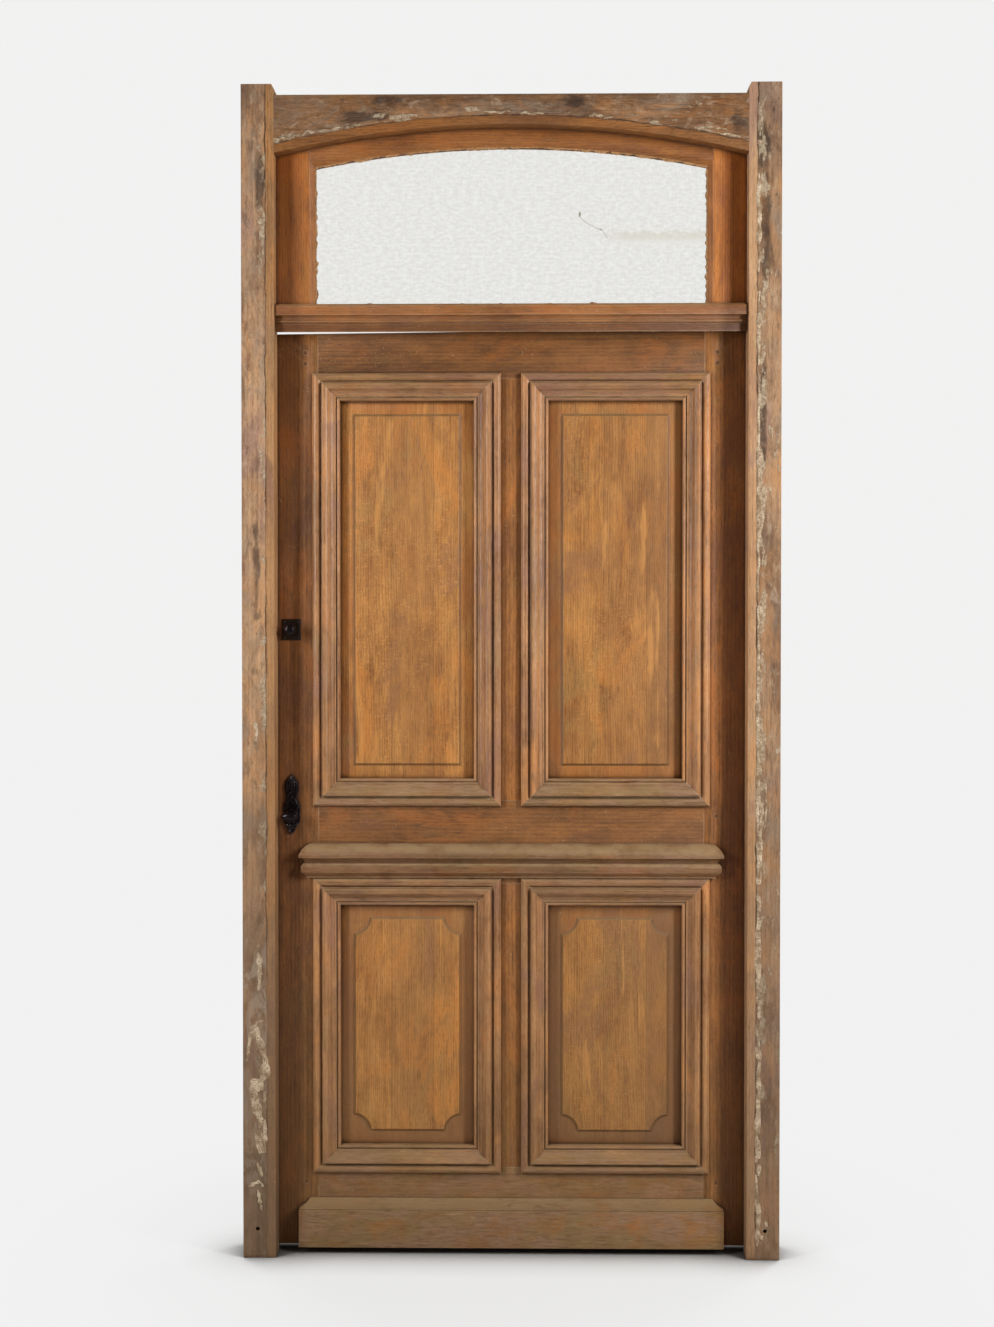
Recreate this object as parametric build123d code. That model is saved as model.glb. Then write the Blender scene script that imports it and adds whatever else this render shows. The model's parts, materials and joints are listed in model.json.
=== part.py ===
from build123d import *
import math
import os

os.makedirs("parts", exist_ok=True)

# Arched entrance door of oak with its frame: two jambs, an arched head, a transom,
# a fixed fanlight sash and a panelled leaf with large bolection mouldings.
# Millimetres. X runs to the right seen from outside, Z runs up. While a piece is built,
# its depth is counted from the exterior face of the frame, towards the room, along +Y.

# Frame
frame_width = 1184.0
jamb_height = 2585.0
frame_depth = 100.0
jamb_face = 72.0
horn_height = 24.0
horn_chip_width = 5.0
horn_chip_height = 9.0
head_crown_depth = 64.5
arch_rise = 61.5
fanlight_height = 390.5
transom_height = 60.5
rebate_width = 13.0
leaf_recess = 57.0
sash_recess = 40.0
stop_gap = 1.0
head_tenon_length = 45.0
head_tenon_thickness = 24.0
transom_tenon_length = 58.0
transom_tenon_thickness = 20.0
tenon_end_gap = 1.0
fixing_hole_radius = 4.5
fixing_hole_height = 63.8
fixing_hole_inset = 31.7
peg_clearance = 0.05
frame_peg_radius = 6.0
frame_peg_blind = 10.0

# Transom section
transom_front = 5.0
lower_fascia_front = 18.0
lower_fascia_height = 18.5
transom_bead_height = 8.0
transom_bead_reach = 4.5
upper_fascia_height = 25.0
transom_top_rise = 3.0
transom_top_ease = 5.0
transom_quirk = 3.0
stop_undercut = 8.0
leaf_head_clearance = 18.5
transom_seat_thickness = 18.0

# Fanlight sash
sash_thickness = 45.0
sash_gap = 2.0
sash_stile_sight = 85.0
sash_top_sight = 38.0
sash_bottom_rail = 27.0
sash_bead_width = 11.0
sash_bead_depth = 10.0
sash_tenon_length = 54.0
sash_tenon_thickness = 14.0
glass_setback = 12.0
glass_thickness = 4.0
glass_rebate = 8.0
glass_edge_gap = 1.0
glazing_bead_depth = 12.0
glazing_bead_overlap = 2.0
glazing_bead_edge_gap = 0.3

# Leaf
leaf_thickness = 42.0
leaf_side_gap = 3.0
leaf_floor_gap = 13.0
leaf_top_gap_lock = -1.5
leaf_top_gap_hinge = -13.5
stile_width = 100.0
muntin_width = 68.0
bottom_rail_height = 174.5
lower_opening_height = 636.5
lock_rail_height = 185.0
top_rail_height = 99.0
groove_width = 14.0
groove_depth = 13.0
groove_front = 14.0
rail_tenon_length = 75.0
muntin_tenon_length = 40.0
tenon_haunch = 20.0
leaf_peg_radius = 4.5
leaf_peg_inset = 28.0
leaf_peg_edge = 34.0

# Bolection moulding, counted inwards from its outer edge and out from the leaf's face
moulding_width = 61.0
moulding_lap = 12.0
lap_side_height = 7.0
torus_width = 18.0
torus_height = 14.0
torus_inner_height = 9.5
quirk_width = 5.0
quirk_height = 7.0
nose_height = 20.5
nose_width = 4.0
nose_shoulder_height = 18.5
ogee_width = 21.5
ogee_mid_height = 14.0
ogee_foot_height = 5.5
fillet_width = 3.5
inner_bead_radius = 3.5
inner_bead_height = 2.0
back_ovolo_width = 21.0
back_ovolo_drop = 13.0

# Panels
panel_edge_depth = 13.0
panel_tongue_thickness = 10.0
panel_tongue_reach = 9.0
panel_groove_reach = 10.0
panel_margin = 28.0
field_raise = 5.5
field_bevel = 5.5
scoop_radius = 36.0

# Cap over the lock rail's lower edge, and plinth at the foot
cap_base_beyond = 2.0
cap_bottom_gap = 1.0
cap_height = 77.0
cap_nose_reach = 28.0
cap_member_reach = 22.4
cap_top_reach = 9.0
cap_foot_reach = 11.0
plinth_height = 105.5
plinth_reach = 27.0
plinth_top_reach = 4.0
plinth_slope_drop = 19.0
plinth_base_beyond = 4.0
plinth_quirk = 2.0

# Lift-off hinges
hinge_count = 3
hinge_height = 140.0
hinge_plate_thickness = 2.5
hinge_plate_edge = 5.0
hinge_knuckle_radius = 6.5
hinge_axis_stand = 8.0
hinge_pin_radius = 4.0
hinge_pin_clearance = 0.05
hinge_ring_height = 3.0
hinge_end_inset = 200.0

# Latch, night bolt and their furniture
spindle_backset = 40.0
handle_height = 976.0
knob_height = 1390.0
bolt_throw = 12.0
bolt_rest_gap = 1.0
case_wall = 2.0
case_thickness = 14.0
forend_thickness = 3.0
forend_width = 24.0
bolt_slack = 0.5
running_clearance = 0.05
crank_thickness = 4.0
pin_slack = 0.7
keep_thickness = 3.0
keep_width = 30.0
keep_margin = 24.0
keep_pocket_gap = 2.0
plate_thickness = 3.0
relief_thickness = 1.5
handle_plate_width = 38.0
handle_plate_height = 132.0
handle_plate_rise = 24.0
knob_plate_width = 42.0
knob_plate_height = 47.0
knob_plate_bevel = 2.0
neck_radius = 8.0
neck_clearance = 0.3
olive_length = 36.0
olive_diameter = 21.0
olive_stand = 37.0
knob_diameter = 28.0
knob_stand = 30.0

# Sizes worked out from the ones above
half_width = frame_width / 2
clear_half = half_width - jamb_face
rebate_half = clear_half + rebate_width
head_top = jamb_height - horn_height
arch_crown = head_top - head_crown_depth
arch_spring = arch_crown - arch_rise
arch_radius = (clear_half ** 2 + arch_rise ** 2) / (2 * arch_rise)
arch_centre = arch_crown - arch_radius
transom_top = arch_crown - fanlight_height
transom_bottom = transom_top - transom_height
stop_depth = leaf_recess - stop_gap
leaf_ceiling = transom_bottom + leaf_head_clearance
sash_seat = leaf_ceiling + transom_seat_thickness
stop_underside = transom_bottom + stop_undercut

leaf_half = rebate_half - leaf_side_gap
leaf_back = leaf_recess + leaf_thickness
leaf_top_lock = transom_bottom - leaf_top_gap_lock
leaf_top_hinge = transom_bottom - leaf_top_gap_hinge
stile_inner = leaf_half - stile_width
muntin_half = muntin_width / 2
bottom_rail_top = leaf_floor_gap + bottom_rail_height
lock_rail_bottom = bottom_rail_top + lower_opening_height
lock_rail_top = lock_rail_bottom + lock_rail_height
top_rail_bottom = leaf_top_lock - top_rail_height
groove_near = leaf_recess + groove_front
groove_far = groove_near + groove_width
moulding_inset = moulding_width - moulding_lap
leaf_mid = leaf_recess + leaf_thickness / 2

spindle_x = -(leaf_half - spindle_backset)
row_depth = leaf_back + olive_stand + olive_diameter / 2
row_centre = row_depth / 2


def block(x0, x1, d0, d1, z0, z1):
    """A box between two corners: across, in depth, and in height."""
    centre = Pos((x0 + x1) / 2, (d0 + d1) / 2, (z0 + z1) / 2)
    return centre * Box(x1 - x0, d1 - d0, z1 - z0)


def slab(face, d0, d1):
    """A face drawn in elevation, across and up, given thickness from depth d0 to d1."""
    return extrude(Plane.XZ.offset(-d1) * face, amount=d1 - d0)


def bar(face, x0, x1):
    """A section drawn in depth and height, carried across from x0 to x1."""
    return extrude(Plane.YZ.offset(x0) * face, amount=x1 - x0)


def rod_through(x, z, d0, d1, radius):
    """A round rod along the depth."""
    return slab(Pos(x, z) * Circle(radius), d0, d1)


def rod_upright(x, depth, z0, z1, radius):
    """A round rod standing upright."""
    return extrude(Plane.XY.offset(z0) * Pos(x, depth) * Circle(radius), amount=z1 - z0)


def polygon(points):
    """A flat face from a closed run of straight edges."""
    return make_face(Polyline(points, close=True))


def rectangle(x0, x1, z0, z1):
    """A rectangle drawn in elevation."""
    return polygon([(x0, z0), (x1, z0), (x1, z1), (x0, z1)])


def arched_face(half, bottom, radius):
    """An opening with upright sides, a level foot and a segmental arch about the common centre."""
    spring = arch_centre + math.sqrt(radius ** 2 - half ** 2)
    sides = Polyline((-half, spring), (-half, bottom), (half, bottom), (half, spring))
    arch = ThreePointArc((half, spring), (0, arch_centre + radius), (-half, spring))
    return make_face(sides + arch)


def turned(profile, x, z, depth, towards_room):
    """A turned piece from (radius, reach) points, its axis along the depth at (x, z)."""
    face = make_face(profile)
    solid = revolve(Plane.XY * face, axis=Axis.Y, revolution_arc=360)
    if not towards_room:
        solid = Rot(0, 0, 180) * solid
    return Pos(x, depth, z) * solid


def save(name, *solids):
    """Writes one node, moved so that the row's origin is under the middle of its depth."""
    moved = [Pos(0, -row_centre, 0) * solid for solid in solids]
    shape = moved[0] if len(moved) == 1 else Compound(children=moved)
    export_step(shape, os.path.join("parts", name + ".step"))


# Frame

head_tenon_near = (sash_recess + frame_depth - head_tenon_thickness) / 2
head_tenon_low = arch_spring + 38
head_tenon_high = head_top - 18
transom_tenon_near = sash_recess - 2 - transom_tenon_thickness
transom_tenon_low = stop_underside + 4
transom_tenon_high = transom_top - 5
frame_peg_inset = 24.0
head_peg_heights = [head_tenon_low + 18, head_tenon_high - 18]
transom_peg_height = (transom_tenon_low + transom_tenon_high) / 2


def head_tenon(extra):
    """The head's tenon on the +X side, longer by extra for its mortise."""
    return block(rebate_half, rebate_half + head_tenon_length + extra,
                 head_tenon_near, head_tenon_near + head_tenon_thickness,
                 head_tenon_low, head_tenon_high)


def transom_tenon(extra):
    """The transom's tenon on the +X side, longer by extra for its mortise."""
    return block(clear_half, clear_half + transom_tenon_length + extra,
                 transom_tenon_near, transom_tenon_near + transom_tenon_thickness,
                 transom_tenon_low, transom_tenon_high)


def frame_pegs(radius):
    """The round pegs of the +X jamb, driven from the room's side through the two tenons."""
    x = rebate_half + frame_peg_inset
    return [rod_through(x, z, frame_peg_blind, frame_depth, radius)
            for z in head_peg_heights + [transom_peg_height]]


def jamb():
    """The +X jamb: a rebated post with a horn over the head and a chipped corner on it."""
    post = block(clear_half, half_width, 0, frame_depth, 0, jamb_height)
    post -= block(clear_half, rebate_half, stop_depth, frame_depth, 0, sash_seat)
    post -= block(clear_half, rebate_half, sash_recess, frame_depth, sash_seat, head_top)
    post -= head_tenon(tenon_end_gap)
    post -= transom_tenon(tenon_end_gap)
    for peg in frame_pegs(frame_peg_radius + peg_clearance):
        post -= peg
    chip = polygon([(clear_half - 1, jamb_height - horn_chip_height),
                    (clear_half, jamb_height - horn_chip_height),
                    (clear_half + horn_chip_width, jamb_height),
                    (clear_half + horn_chip_width, jamb_height + 1),
                    (clear_half - 1, jamb_height + 1)])
    post -= slab(chip, 0, frame_depth)
    post -= rod_through(half_width - fixing_hole_inset, fixing_hole_height, 0, frame_depth,
                        fixing_hole_radius)
    return post


def head():
    """The head: a thick board with the arch cut in its lower edge and a rebate behind."""
    front = block(-clear_half, clear_half, 0, sash_recess, arch_spring, head_top)
    front -= slab(arched_face(clear_half, arch_spring - 20, arch_radius), 0, sash_recess)
    back_radius = arch_radius + rebate_width
    back_spring = arch_centre + math.sqrt(back_radius ** 2 - rebate_half ** 2)
    back = block(-rebate_half, rebate_half, sash_recess, frame_depth, back_spring, head_top)
    back -= slab(arched_face(rebate_half, back_spring - 20, back_radius), sash_recess, frame_depth)
    tenon = head_tenon(0)
    board = front + back + tenon + mirror(tenon, about=Plane.YZ)
    for peg in frame_pegs(frame_peg_radius + peg_clearance)[:2]:
        board -= peg
        board -= mirror(peg, about=Plane.YZ)
    return board


def transom():
    """The transom: a weathered top, a fascia over a cove and bead, and a drip in its underside."""
    fascia_foot = transom_top - upper_fascia_height
    lower_top = transom_bottom + lower_fascia_height
    bead_top = lower_top + transom_bead_height
    bead_mid = (lower_top + bead_top) / 2
    bead_front = lower_fascia_front - transom_bead_reach
    cove_top = fascia_foot + transom_quirk
    cove_back = transom_front + 3
    outline = (
        Polyline((transom_front, fascia_foot), (transom_front, transom_top - transom_top_ease),
                 (transom_front + transom_top_ease, transom_top),
                 (sash_recess, transom_top + transom_top_rise),
                 (sash_recess, sash_seat), (stop_depth, sash_seat), (stop_depth, stop_underside),
                 (lower_fascia_front, transom_bottom), (lower_fascia_front, lower_top))
        + ThreePointArc((lower_fascia_front, lower_top), (bead_front, bead_mid),
                        (lower_fascia_front, bead_top))
        + ThreePointArc((lower_fascia_front, bead_top),
                        (lower_fascia_front - 2.4, cove_top - 4.2),
                        (cove_back, cove_top))
        + Polyline((cove_back, cove_top), (cove_back, fascia_foot), (transom_front, fascia_foot)))
    front = bar(make_face(outline), -clear_half, clear_half)
    back = block(-rebate_half, rebate_half, stop_depth, frame_depth, leaf_ceiling, sash_seat)
    tenon = transom_tenon(0)
    beam = front + back + tenon + mirror(tenon, about=Plane.YZ)
    peg = frame_pegs(frame_peg_radius + peg_clearance)[2]
    return beam - peg - mirror(peg, about=Plane.YZ)


# Fanlight sash

sight_half = clear_half - sash_stile_sight
sight_radius = arch_radius - sash_top_sight
sight_bottom = sash_seat + sash_bottom_rail
sash_half = rebate_half - sash_gap
sash_back = sash_recess + sash_thickness
sight_corner = arch_centre + math.sqrt(sight_radius ** 2 - sight_half ** 2)
sash_shoulder = sight_half + sash_bead_width
sash_tenon_near = sash_recess + glass_setback + 8


def sash_blank():
    """The whole sash before it is parted into stiles and rails."""
    blank = slab(arched_face(sash_half, sash_seat, arch_radius + rebate_width - sash_gap),
                 sash_recess, sash_back)
    sight = arched_face(sight_half, sight_bottom, sight_radius)
    blank -= slab(sight, sash_recess, sash_back)
    bead_angle = math.degrees(math.atan2(sash_bead_width, sash_bead_depth))
    bead_plane = Plane.XZ.offset(-(sash_recess + sash_bead_depth))
    blank -= extrude(bead_plane * sight, amount=sash_bead_depth, taper=-bead_angle)
    rebate = arched_face(sight_half + glass_rebate, sight_bottom - glass_rebate,
                         sight_radius + glass_rebate)
    return blank - slab(rebate, sash_recess + glass_setback, sash_back)


def sash_stile_zone():
    """The zone of the +X stile, with the bead's corners mitred."""
    top = arch_crown + rebate_width
    zone = polygon([(sash_half, sash_seat), (sash_half, top), (sash_shoulder, top),
                    (sash_shoulder, sight_corner + sash_bead_width), (sight_half, sight_corner),
                    (sight_half, sight_bottom), (sash_shoulder, sight_bottom - sash_bead_width),
                    (sash_shoulder, sash_seat)])
    return slab(zone, sash_recess, sash_back)


def sash_tenons(extra):
    """The top and bottom rails' tenons on the +X side."""
    end = sash_shoulder + sash_tenon_length
    rail_low = arch_centre + math.sqrt((sight_radius + glass_rebate) ** 2 - sash_shoulder ** 2)
    rail_high = arch_centre + math.sqrt((arch_radius + rebate_width - sash_gap) ** 2 - end ** 2)
    heights = [(rail_low + 3, rail_high - 3), (sash_seat + 4, sight_bottom - glass_rebate - 4)]
    return [block(sash_shoulder, end + extra,
                  sash_tenon_near, sash_tenon_near + sash_tenon_thickness, low, high)
            for low, high in heights]


def sash_pieces():
    """The two stiles, the arched top rail and the bottom rail."""
    blank = sash_blank()
    zone = sash_stile_zone()
    stile = blank & zone
    for mortise in sash_tenons(tenon_end_gap):
        stile -= mortise
    middle = blank - zone - mirror(zone, about=Plane.YZ)
    split = (sight_bottom + sight_corner) / 2
    upper = block(-sash_half, sash_half, sash_recess, sash_back, split, head_top)
    top_rail = middle & upper
    bottom_rail = middle - upper
    top_tenon, bottom_tenon = sash_tenons(0)
    top_rail += top_tenon + mirror(top_tenon, about=Plane.YZ)
    bottom_rail += bottom_tenon + mirror(bottom_tenon, about=Plane.YZ)
    return stile, top_rail, bottom_rail


def glass_pane():
    """The fanlight's pane, let into the sash's rebate."""
    reach = glass_rebate - glass_edge_gap
    pane = arched_face(sight_half + reach, sight_bottom - reach, sight_radius + reach)
    near = sash_recess + glass_setback
    return slab(pane, near, near + glass_thickness)


def glazing_beads():
    """The four loose beads behind the pane: the +X one, the top one and the bottom one."""
    near = sash_recess + glass_setback + glass_thickness
    reach = glass_rebate - glazing_bead_edge_gap
    ring = slab(arched_face(sight_half + reach, sight_bottom - reach, sight_radius + reach),
                near, near + glazing_bead_depth)
    inner_half = sight_half - glazing_bead_overlap
    ring -= slab(arched_face(inner_half, sight_bottom + glazing_bead_overlap,
                             sight_radius - glazing_bead_overlap), near, near + glazing_bead_depth)
    side = ring & block(inner_half, sash_half, near, near + glazing_bead_depth, sash_seat, head_top)
    middle = ring & block(-inner_half, inner_half, near, near + glazing_bead_depth,
                          sash_seat, head_top)
    split = (sight_bottom + sight_corner) / 2
    upper = block(-sash_half, sash_half, near, near + glazing_bead_depth, split, head_top)
    return side, middle & upper, middle - upper


# Leaf: stiles, rails and muntins

openings = {
    "upper_left": (-stile_inner, -muntin_half, lock_rail_top, top_rail_bottom),
    "upper_right": (muntin_half, stile_inner, lock_rail_top, top_rail_bottom),
    "lower_left": (-stile_inner, -muntin_half, bottom_rail_top, lock_rail_bottom),
    "lower_right": (muntin_half, stile_inner, bottom_rail_top, lock_rail_bottom),
}

case_height_below = 62.0
case_height_above = 48.0
lock_tenon_gap = 6.0
rail_tenons = {
    "bottom": (leaf_floor_gap + tenon_haunch, bottom_rail_top - groove_depth,
               leaf_floor_gap + tenon_haunch, bottom_rail_top - groove_depth),
    "lock": (lock_rail_bottom + groove_depth, handle_height - case_height_below - lock_tenon_gap,
             lock_rail_bottom + groove_depth, lock_rail_top - groove_depth),
    "top": (top_rail_bottom + groove_depth, leaf_top_lock - tenon_haunch,
            top_rail_bottom + groove_depth, leaf_top_lock - tenon_haunch),
}


def grooves():
    """The groove round each opening that the moulding's tongue slides into."""
    return [block(x0 - groove_depth, x1 + groove_depth, groove_near, groove_far,
                  z0 - groove_depth, z1 + groove_depth)
            for x0, x1, z0, z1 in openings.values()]


def leaf_slab():
    """The leaf's outline, its top edge planed out of square towards the lock."""
    outline = polygon([(-leaf_half, leaf_floor_gap), (leaf_half, leaf_floor_gap),
                       (leaf_half, leaf_top_hinge), (-leaf_half, leaf_top_lock)])
    return slab(outline, leaf_recess, leaf_back)


def rail_tenon_pair(name, extra):
    """A rail's two tenons: the lock side's and the hinge side's."""
    lock_low, lock_high, hinge_low, hinge_high = rail_tenons[name]
    end = stile_inner + rail_tenon_length + extra
    return [block(-end, -stile_inner, groove_near, groove_far, lock_low, lock_high),
            block(stile_inner, end, groove_near, groove_far, hinge_low, hinge_high)]


def muntin_tenon_pair(low, high, extra):
    """A muntin's tenons below and above it."""
    reach = muntin_tenon_length + extra
    half = muntin_half - groove_depth
    return [block(-half, half, groove_near, groove_far, low - reach, low),
            block(-half, half, groove_near, groove_far, high, high + reach)]


def leaf_peg_places():
    """Where the leaf's pegs go through the stiles and the rails' tenons."""
    x = stile_inner + leaf_peg_inset
    places = []
    for name in rail_tenons:
        lock_low, lock_high, hinge_low, hinge_high = rail_tenons[name]
        lock_edge = min(leaf_peg_edge - groove_depth, (lock_high - lock_low) / 3)
        hinge_edge = min(leaf_peg_edge - groove_depth, (hinge_high - hinge_low) / 3)
        places += [(-x, lock_low + lock_edge), (-x, lock_high - lock_edge)]
        places += [(x, hinge_low + hinge_edge), (x, hinge_high - hinge_edge)]
    return places


def leaf_pegs(radius):
    """The leaf's round pegs, flush with both faces."""
    return [rod_through(x, z, leaf_recess, leaf_back, radius) for x, z in leaf_peg_places()]


def leaf_members():
    """The two stiles, three rails and two muntins, tenoned, grooved and pegged."""
    whole = leaf_slab()
    rails = {
        "bottom": block(-stile_inner, stile_inner, leaf_recess, leaf_back,
                        leaf_floor_gap, bottom_rail_top),
        "lock": block(-stile_inner, stile_inner, leaf_recess, leaf_back,
                      lock_rail_bottom, lock_rail_top),
        "top": block(-stile_inner, stile_inner, leaf_recess, leaf_back,
                     top_rail_bottom, leaf_top_hinge) & whole,
    }
    stiles = {
        "lock": block(-leaf_half, -stile_inner, leaf_recess, leaf_back,
                      leaf_floor_gap, leaf_top_hinge) & whole,
        "hinge": block(stile_inner, leaf_half, leaf_recess, leaf_back,
                       leaf_floor_gap, leaf_top_hinge) & whole,
    }
    muntins = {
        "lower": block(-muntin_half, muntin_half, leaf_recess, leaf_back,
                       bottom_rail_top, lock_rail_bottom),
        "upper": block(-muntin_half, muntin_half, leaf_recess, leaf_back,
                       lock_rail_top, top_rail_bottom),
    }
    for name in rails:
        lock_mortise, hinge_mortise = rail_tenon_pair(name, tenon_end_gap)
        stiles["lock"] -= lock_mortise
        stiles["hinge"] -= hinge_mortise
        for tenon in rail_tenon_pair(name, 0):
            rails[name] += tenon
    spans = {"lower": (bottom_rail_top, lock_rail_bottom, "bottom", "lock"),
             "upper": (lock_rail_top, top_rail_bottom, "lock", "top")}
    for name, (low, high, rail_below, rail_above) in spans.items():
        below, above = muntin_tenon_pair(low, high, tenon_end_gap)
        rails[rail_below] -= below
        rails[rail_above] -= above
        for tenon in muntin_tenon_pair(low, high, 0):
            muntins[name] += tenon
    members = {}
    for kind, group in (("stile", stiles), ("rail", rails), ("muntin", muntins)):
        for name, solid in group.items():
            for groove in grooves():
                solid -= groove
            members[name + "_" + kind] = solid
    for peg in leaf_pegs(leaf_peg_radius + peg_clearance):
        for name in ("lock_stile", "hinge_stile", "bottom_rail", "lock_rail", "top_rail"):
            members[name] -= peg
    return members


# Mouldings and panels

def moulding_section():
    """The bolection's section: u inwards from the outer edge, then depth."""
    face = leaf_recess

    def at(u, height):
        return (u, face - height)

    quirk_end = torus_width + quirk_width
    ogee_start = quirk_end + nose_width
    ogee_end = ogee_start + ogee_width
    ogee_mid = (ogee_start + ogee_end) / 2
    bead_start = moulding_width - 2 * inner_bead_radius
    mid_bead = moulding_width - inner_bead_radius
    panel_front = face + panel_edge_depth
    panel_back = panel_front + panel_tongue_thickness
    ovolo_start = moulding_width - back_ovolo_width
    groove_foot = moulding_width - panel_groove_reach
    front_run = (
        Polyline(at(moulding_lap, 0), at(0, 0), at(0, lap_side_height))
        + ThreePointArc(at(0, lap_side_height), at(torus_width * 0.42, torus_height),
                        at(torus_width, torus_inner_height))
        + Polyline(at(torus_width, torus_inner_height), at(torus_width, quirk_height),
                   at(quirk_end, quirk_height), at(quirk_end, nose_shoulder_height))
        + ThreePointArc(at(quirk_end, nose_shoulder_height),
                        at(quirk_end + nose_width * 0.3, nose_height - 0.4),
                        at(ogee_start, nose_height))
        + ThreePointArc(at(ogee_start, nose_height),
                        at((ogee_start + ogee_mid) / 2 + 0.8, (nose_height + ogee_mid_height) / 2 + 1.2),
                        at(ogee_mid, ogee_mid_height))
        + ThreePointArc(at(ogee_mid, ogee_mid_height),
                        at((ogee_mid + ogee_end) / 2 - 0.8, (ogee_mid_height + ogee_foot_height) / 2 - 1.2),
                        at(ogee_end, ogee_foot_height))
        + Polyline(at(ogee_end, ogee_foot_height), at(ogee_end + fillet_width, ogee_foot_height),
                   at(ogee_end + fillet_width, inner_bead_height), at(bead_start, inner_bead_height))
        + ThreePointArc(at(bead_start, inner_bead_height),
                        at(mid_bead, inner_bead_height + inner_bead_radius),
                        at(moulding_width, inner_bead_height)))
    back_run = (
        Polyline(at(moulding_width, inner_bead_height), (moulding_width, panel_front),
                 (groove_foot, panel_front), (groove_foot, panel_back),
                 (moulding_width, panel_back), (moulding_width, leaf_back - back_ovolo_drop))
        + ThreePointArc((moulding_width, leaf_back - back_ovolo_drop),
                        (moulding_width - back_ovolo_width * 0.38, leaf_back - back_ovolo_drop * 0.42),
                        (ovolo_start, leaf_back - 2))
        + Polyline((ovolo_start, leaf_back - 2), (ovolo_start, leaf_back),
                   (moulding_lap, leaf_back), (moulding_lap, groove_far),
                   (0, groove_far), (0, groove_near), (moulding_lap, groove_near),
                   (moulding_lap, leaf_recess)))
    return make_face(front_run + back_run)


def moulding_frame(opening):
    """Four mitred lengths of the bolection round one opening."""
    x0, x1, z0, z1 = opening
    left, right = x0 - moulding_lap, x1 + moulding_lap
    low, high = z0 - moulding_lap, z1 + moulding_lap
    inner_left, inner_right = left + moulding_width, right - moulding_width
    inner_low, inner_high = low + moulding_width, high - moulding_width
    # Each side: where its section stands, its two directions, and its mitred outline
    sides = [
        ((left, 0, 0), (1, 0, 0), (0, 0, 1),
         [(left, low), (inner_left, inner_low), (inner_left, inner_high), (left, high)]),
        ((right, 0, 0), (-1, 0, 0), (0, 0, -1),
         [(right, low), (inner_right, inner_low), (inner_right, inner_high), (right, high)]),
        ((0, 0, low), (0, 0, 1), (-1, 0, 0),
         [(left, low), (inner_left, inner_low), (inner_right, inner_low), (right, low)]),
        ((0, 0, high), (0, 0, -1), (1, 0, 0),
         [(left, high), (inner_left, inner_high), (inner_right, inner_high), (right, high)]),
    ]
    lengths = []
    for origin, across, along, outline in sides:
        plane = Plane(origin=origin, x_dir=across, z_dir=along)
        length = extrude(plane * moulding_section(), amount=jamb_height, both=True)
        lengths.append(length & slab(polygon(outline), 0, frame_depth))
    return lengths


def field_face(x0, x1, z0, z1, scoop):
    """A panel's field in elevation, its corners scooped out where scoop is more than 0."""
    face = rectangle(x0, x1, z0, z1)
    if scoop > 0:
        for x in (x0, x1):
            for z in (z0, z1):
                face -= Pos(x, z) * Circle(scoop)
    return face


def panel(opening, scoop):
    """A raised and fielded panel, tongued all round into its moulding."""
    x0, x1, z0, z1 = opening
    sight = (x0 + moulding_inset, x1 - moulding_inset, z0 + moulding_inset, z1 - moulding_inset)
    near = leaf_recess + panel_edge_depth
    far = near + panel_tongue_thickness
    board = block(sight[0] - panel_tongue_reach, sight[1] + panel_tongue_reach, near, far,
                  sight[2] - panel_tongue_reach, sight[3] + panel_tongue_reach)
    bevel = math.degrees(math.atan2(field_bevel, field_raise))
    field = field_face(sight[0] + panel_margin, sight[1] - panel_margin,
                       sight[2] + panel_margin, sight[3] - panel_margin, scoop)
    board += extrude(Plane.XZ.offset(-near) * field, amount=field_raise, taper=bevel)
    plain = field_face(sight[0] + panel_margin, sight[1] - panel_margin,
                       sight[2] + panel_margin, sight[3] - panel_margin, 0)
    back_plane = Plane(origin=(0, far, 0), x_dir=(-1, 0, 0), z_dir=(0, 1, 0))
    flipped = mirror(plain, about=Plane.YZ)
    board += extrude(back_plane * flipped, amount=field_raise, taper=bevel)
    return board


# Cap moulding and plinth

def returned_length(section_runs, base_half, reach, low, high):
    """A moulding on the leaf's face with mitred returns: its section carried across,
    and cut by the same section turned to both ends."""
    across = make_face(section_runs(lambda p, z: (leaf_recess - p, z)))
    right = section_runs(lambda p, z: (base_half + p, z))
    left = section_runs(lambda p, z: (-base_half - p, z))
    length = bar(across, -base_half - reach, base_half + reach)
    ends = slab(make_face(right), leaf_recess - reach, leaf_recess)
    ends += slab(make_face(left), leaf_recess - reach, leaf_recess)
    ends += slab(rectangle(-base_half, base_half, low, high), leaf_recess - reach, leaf_recess)
    return length & ends


cap_bottom = lock_rail_bottom + moulding_lap + cap_bottom_gap
cap_top = cap_bottom + cap_height


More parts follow.
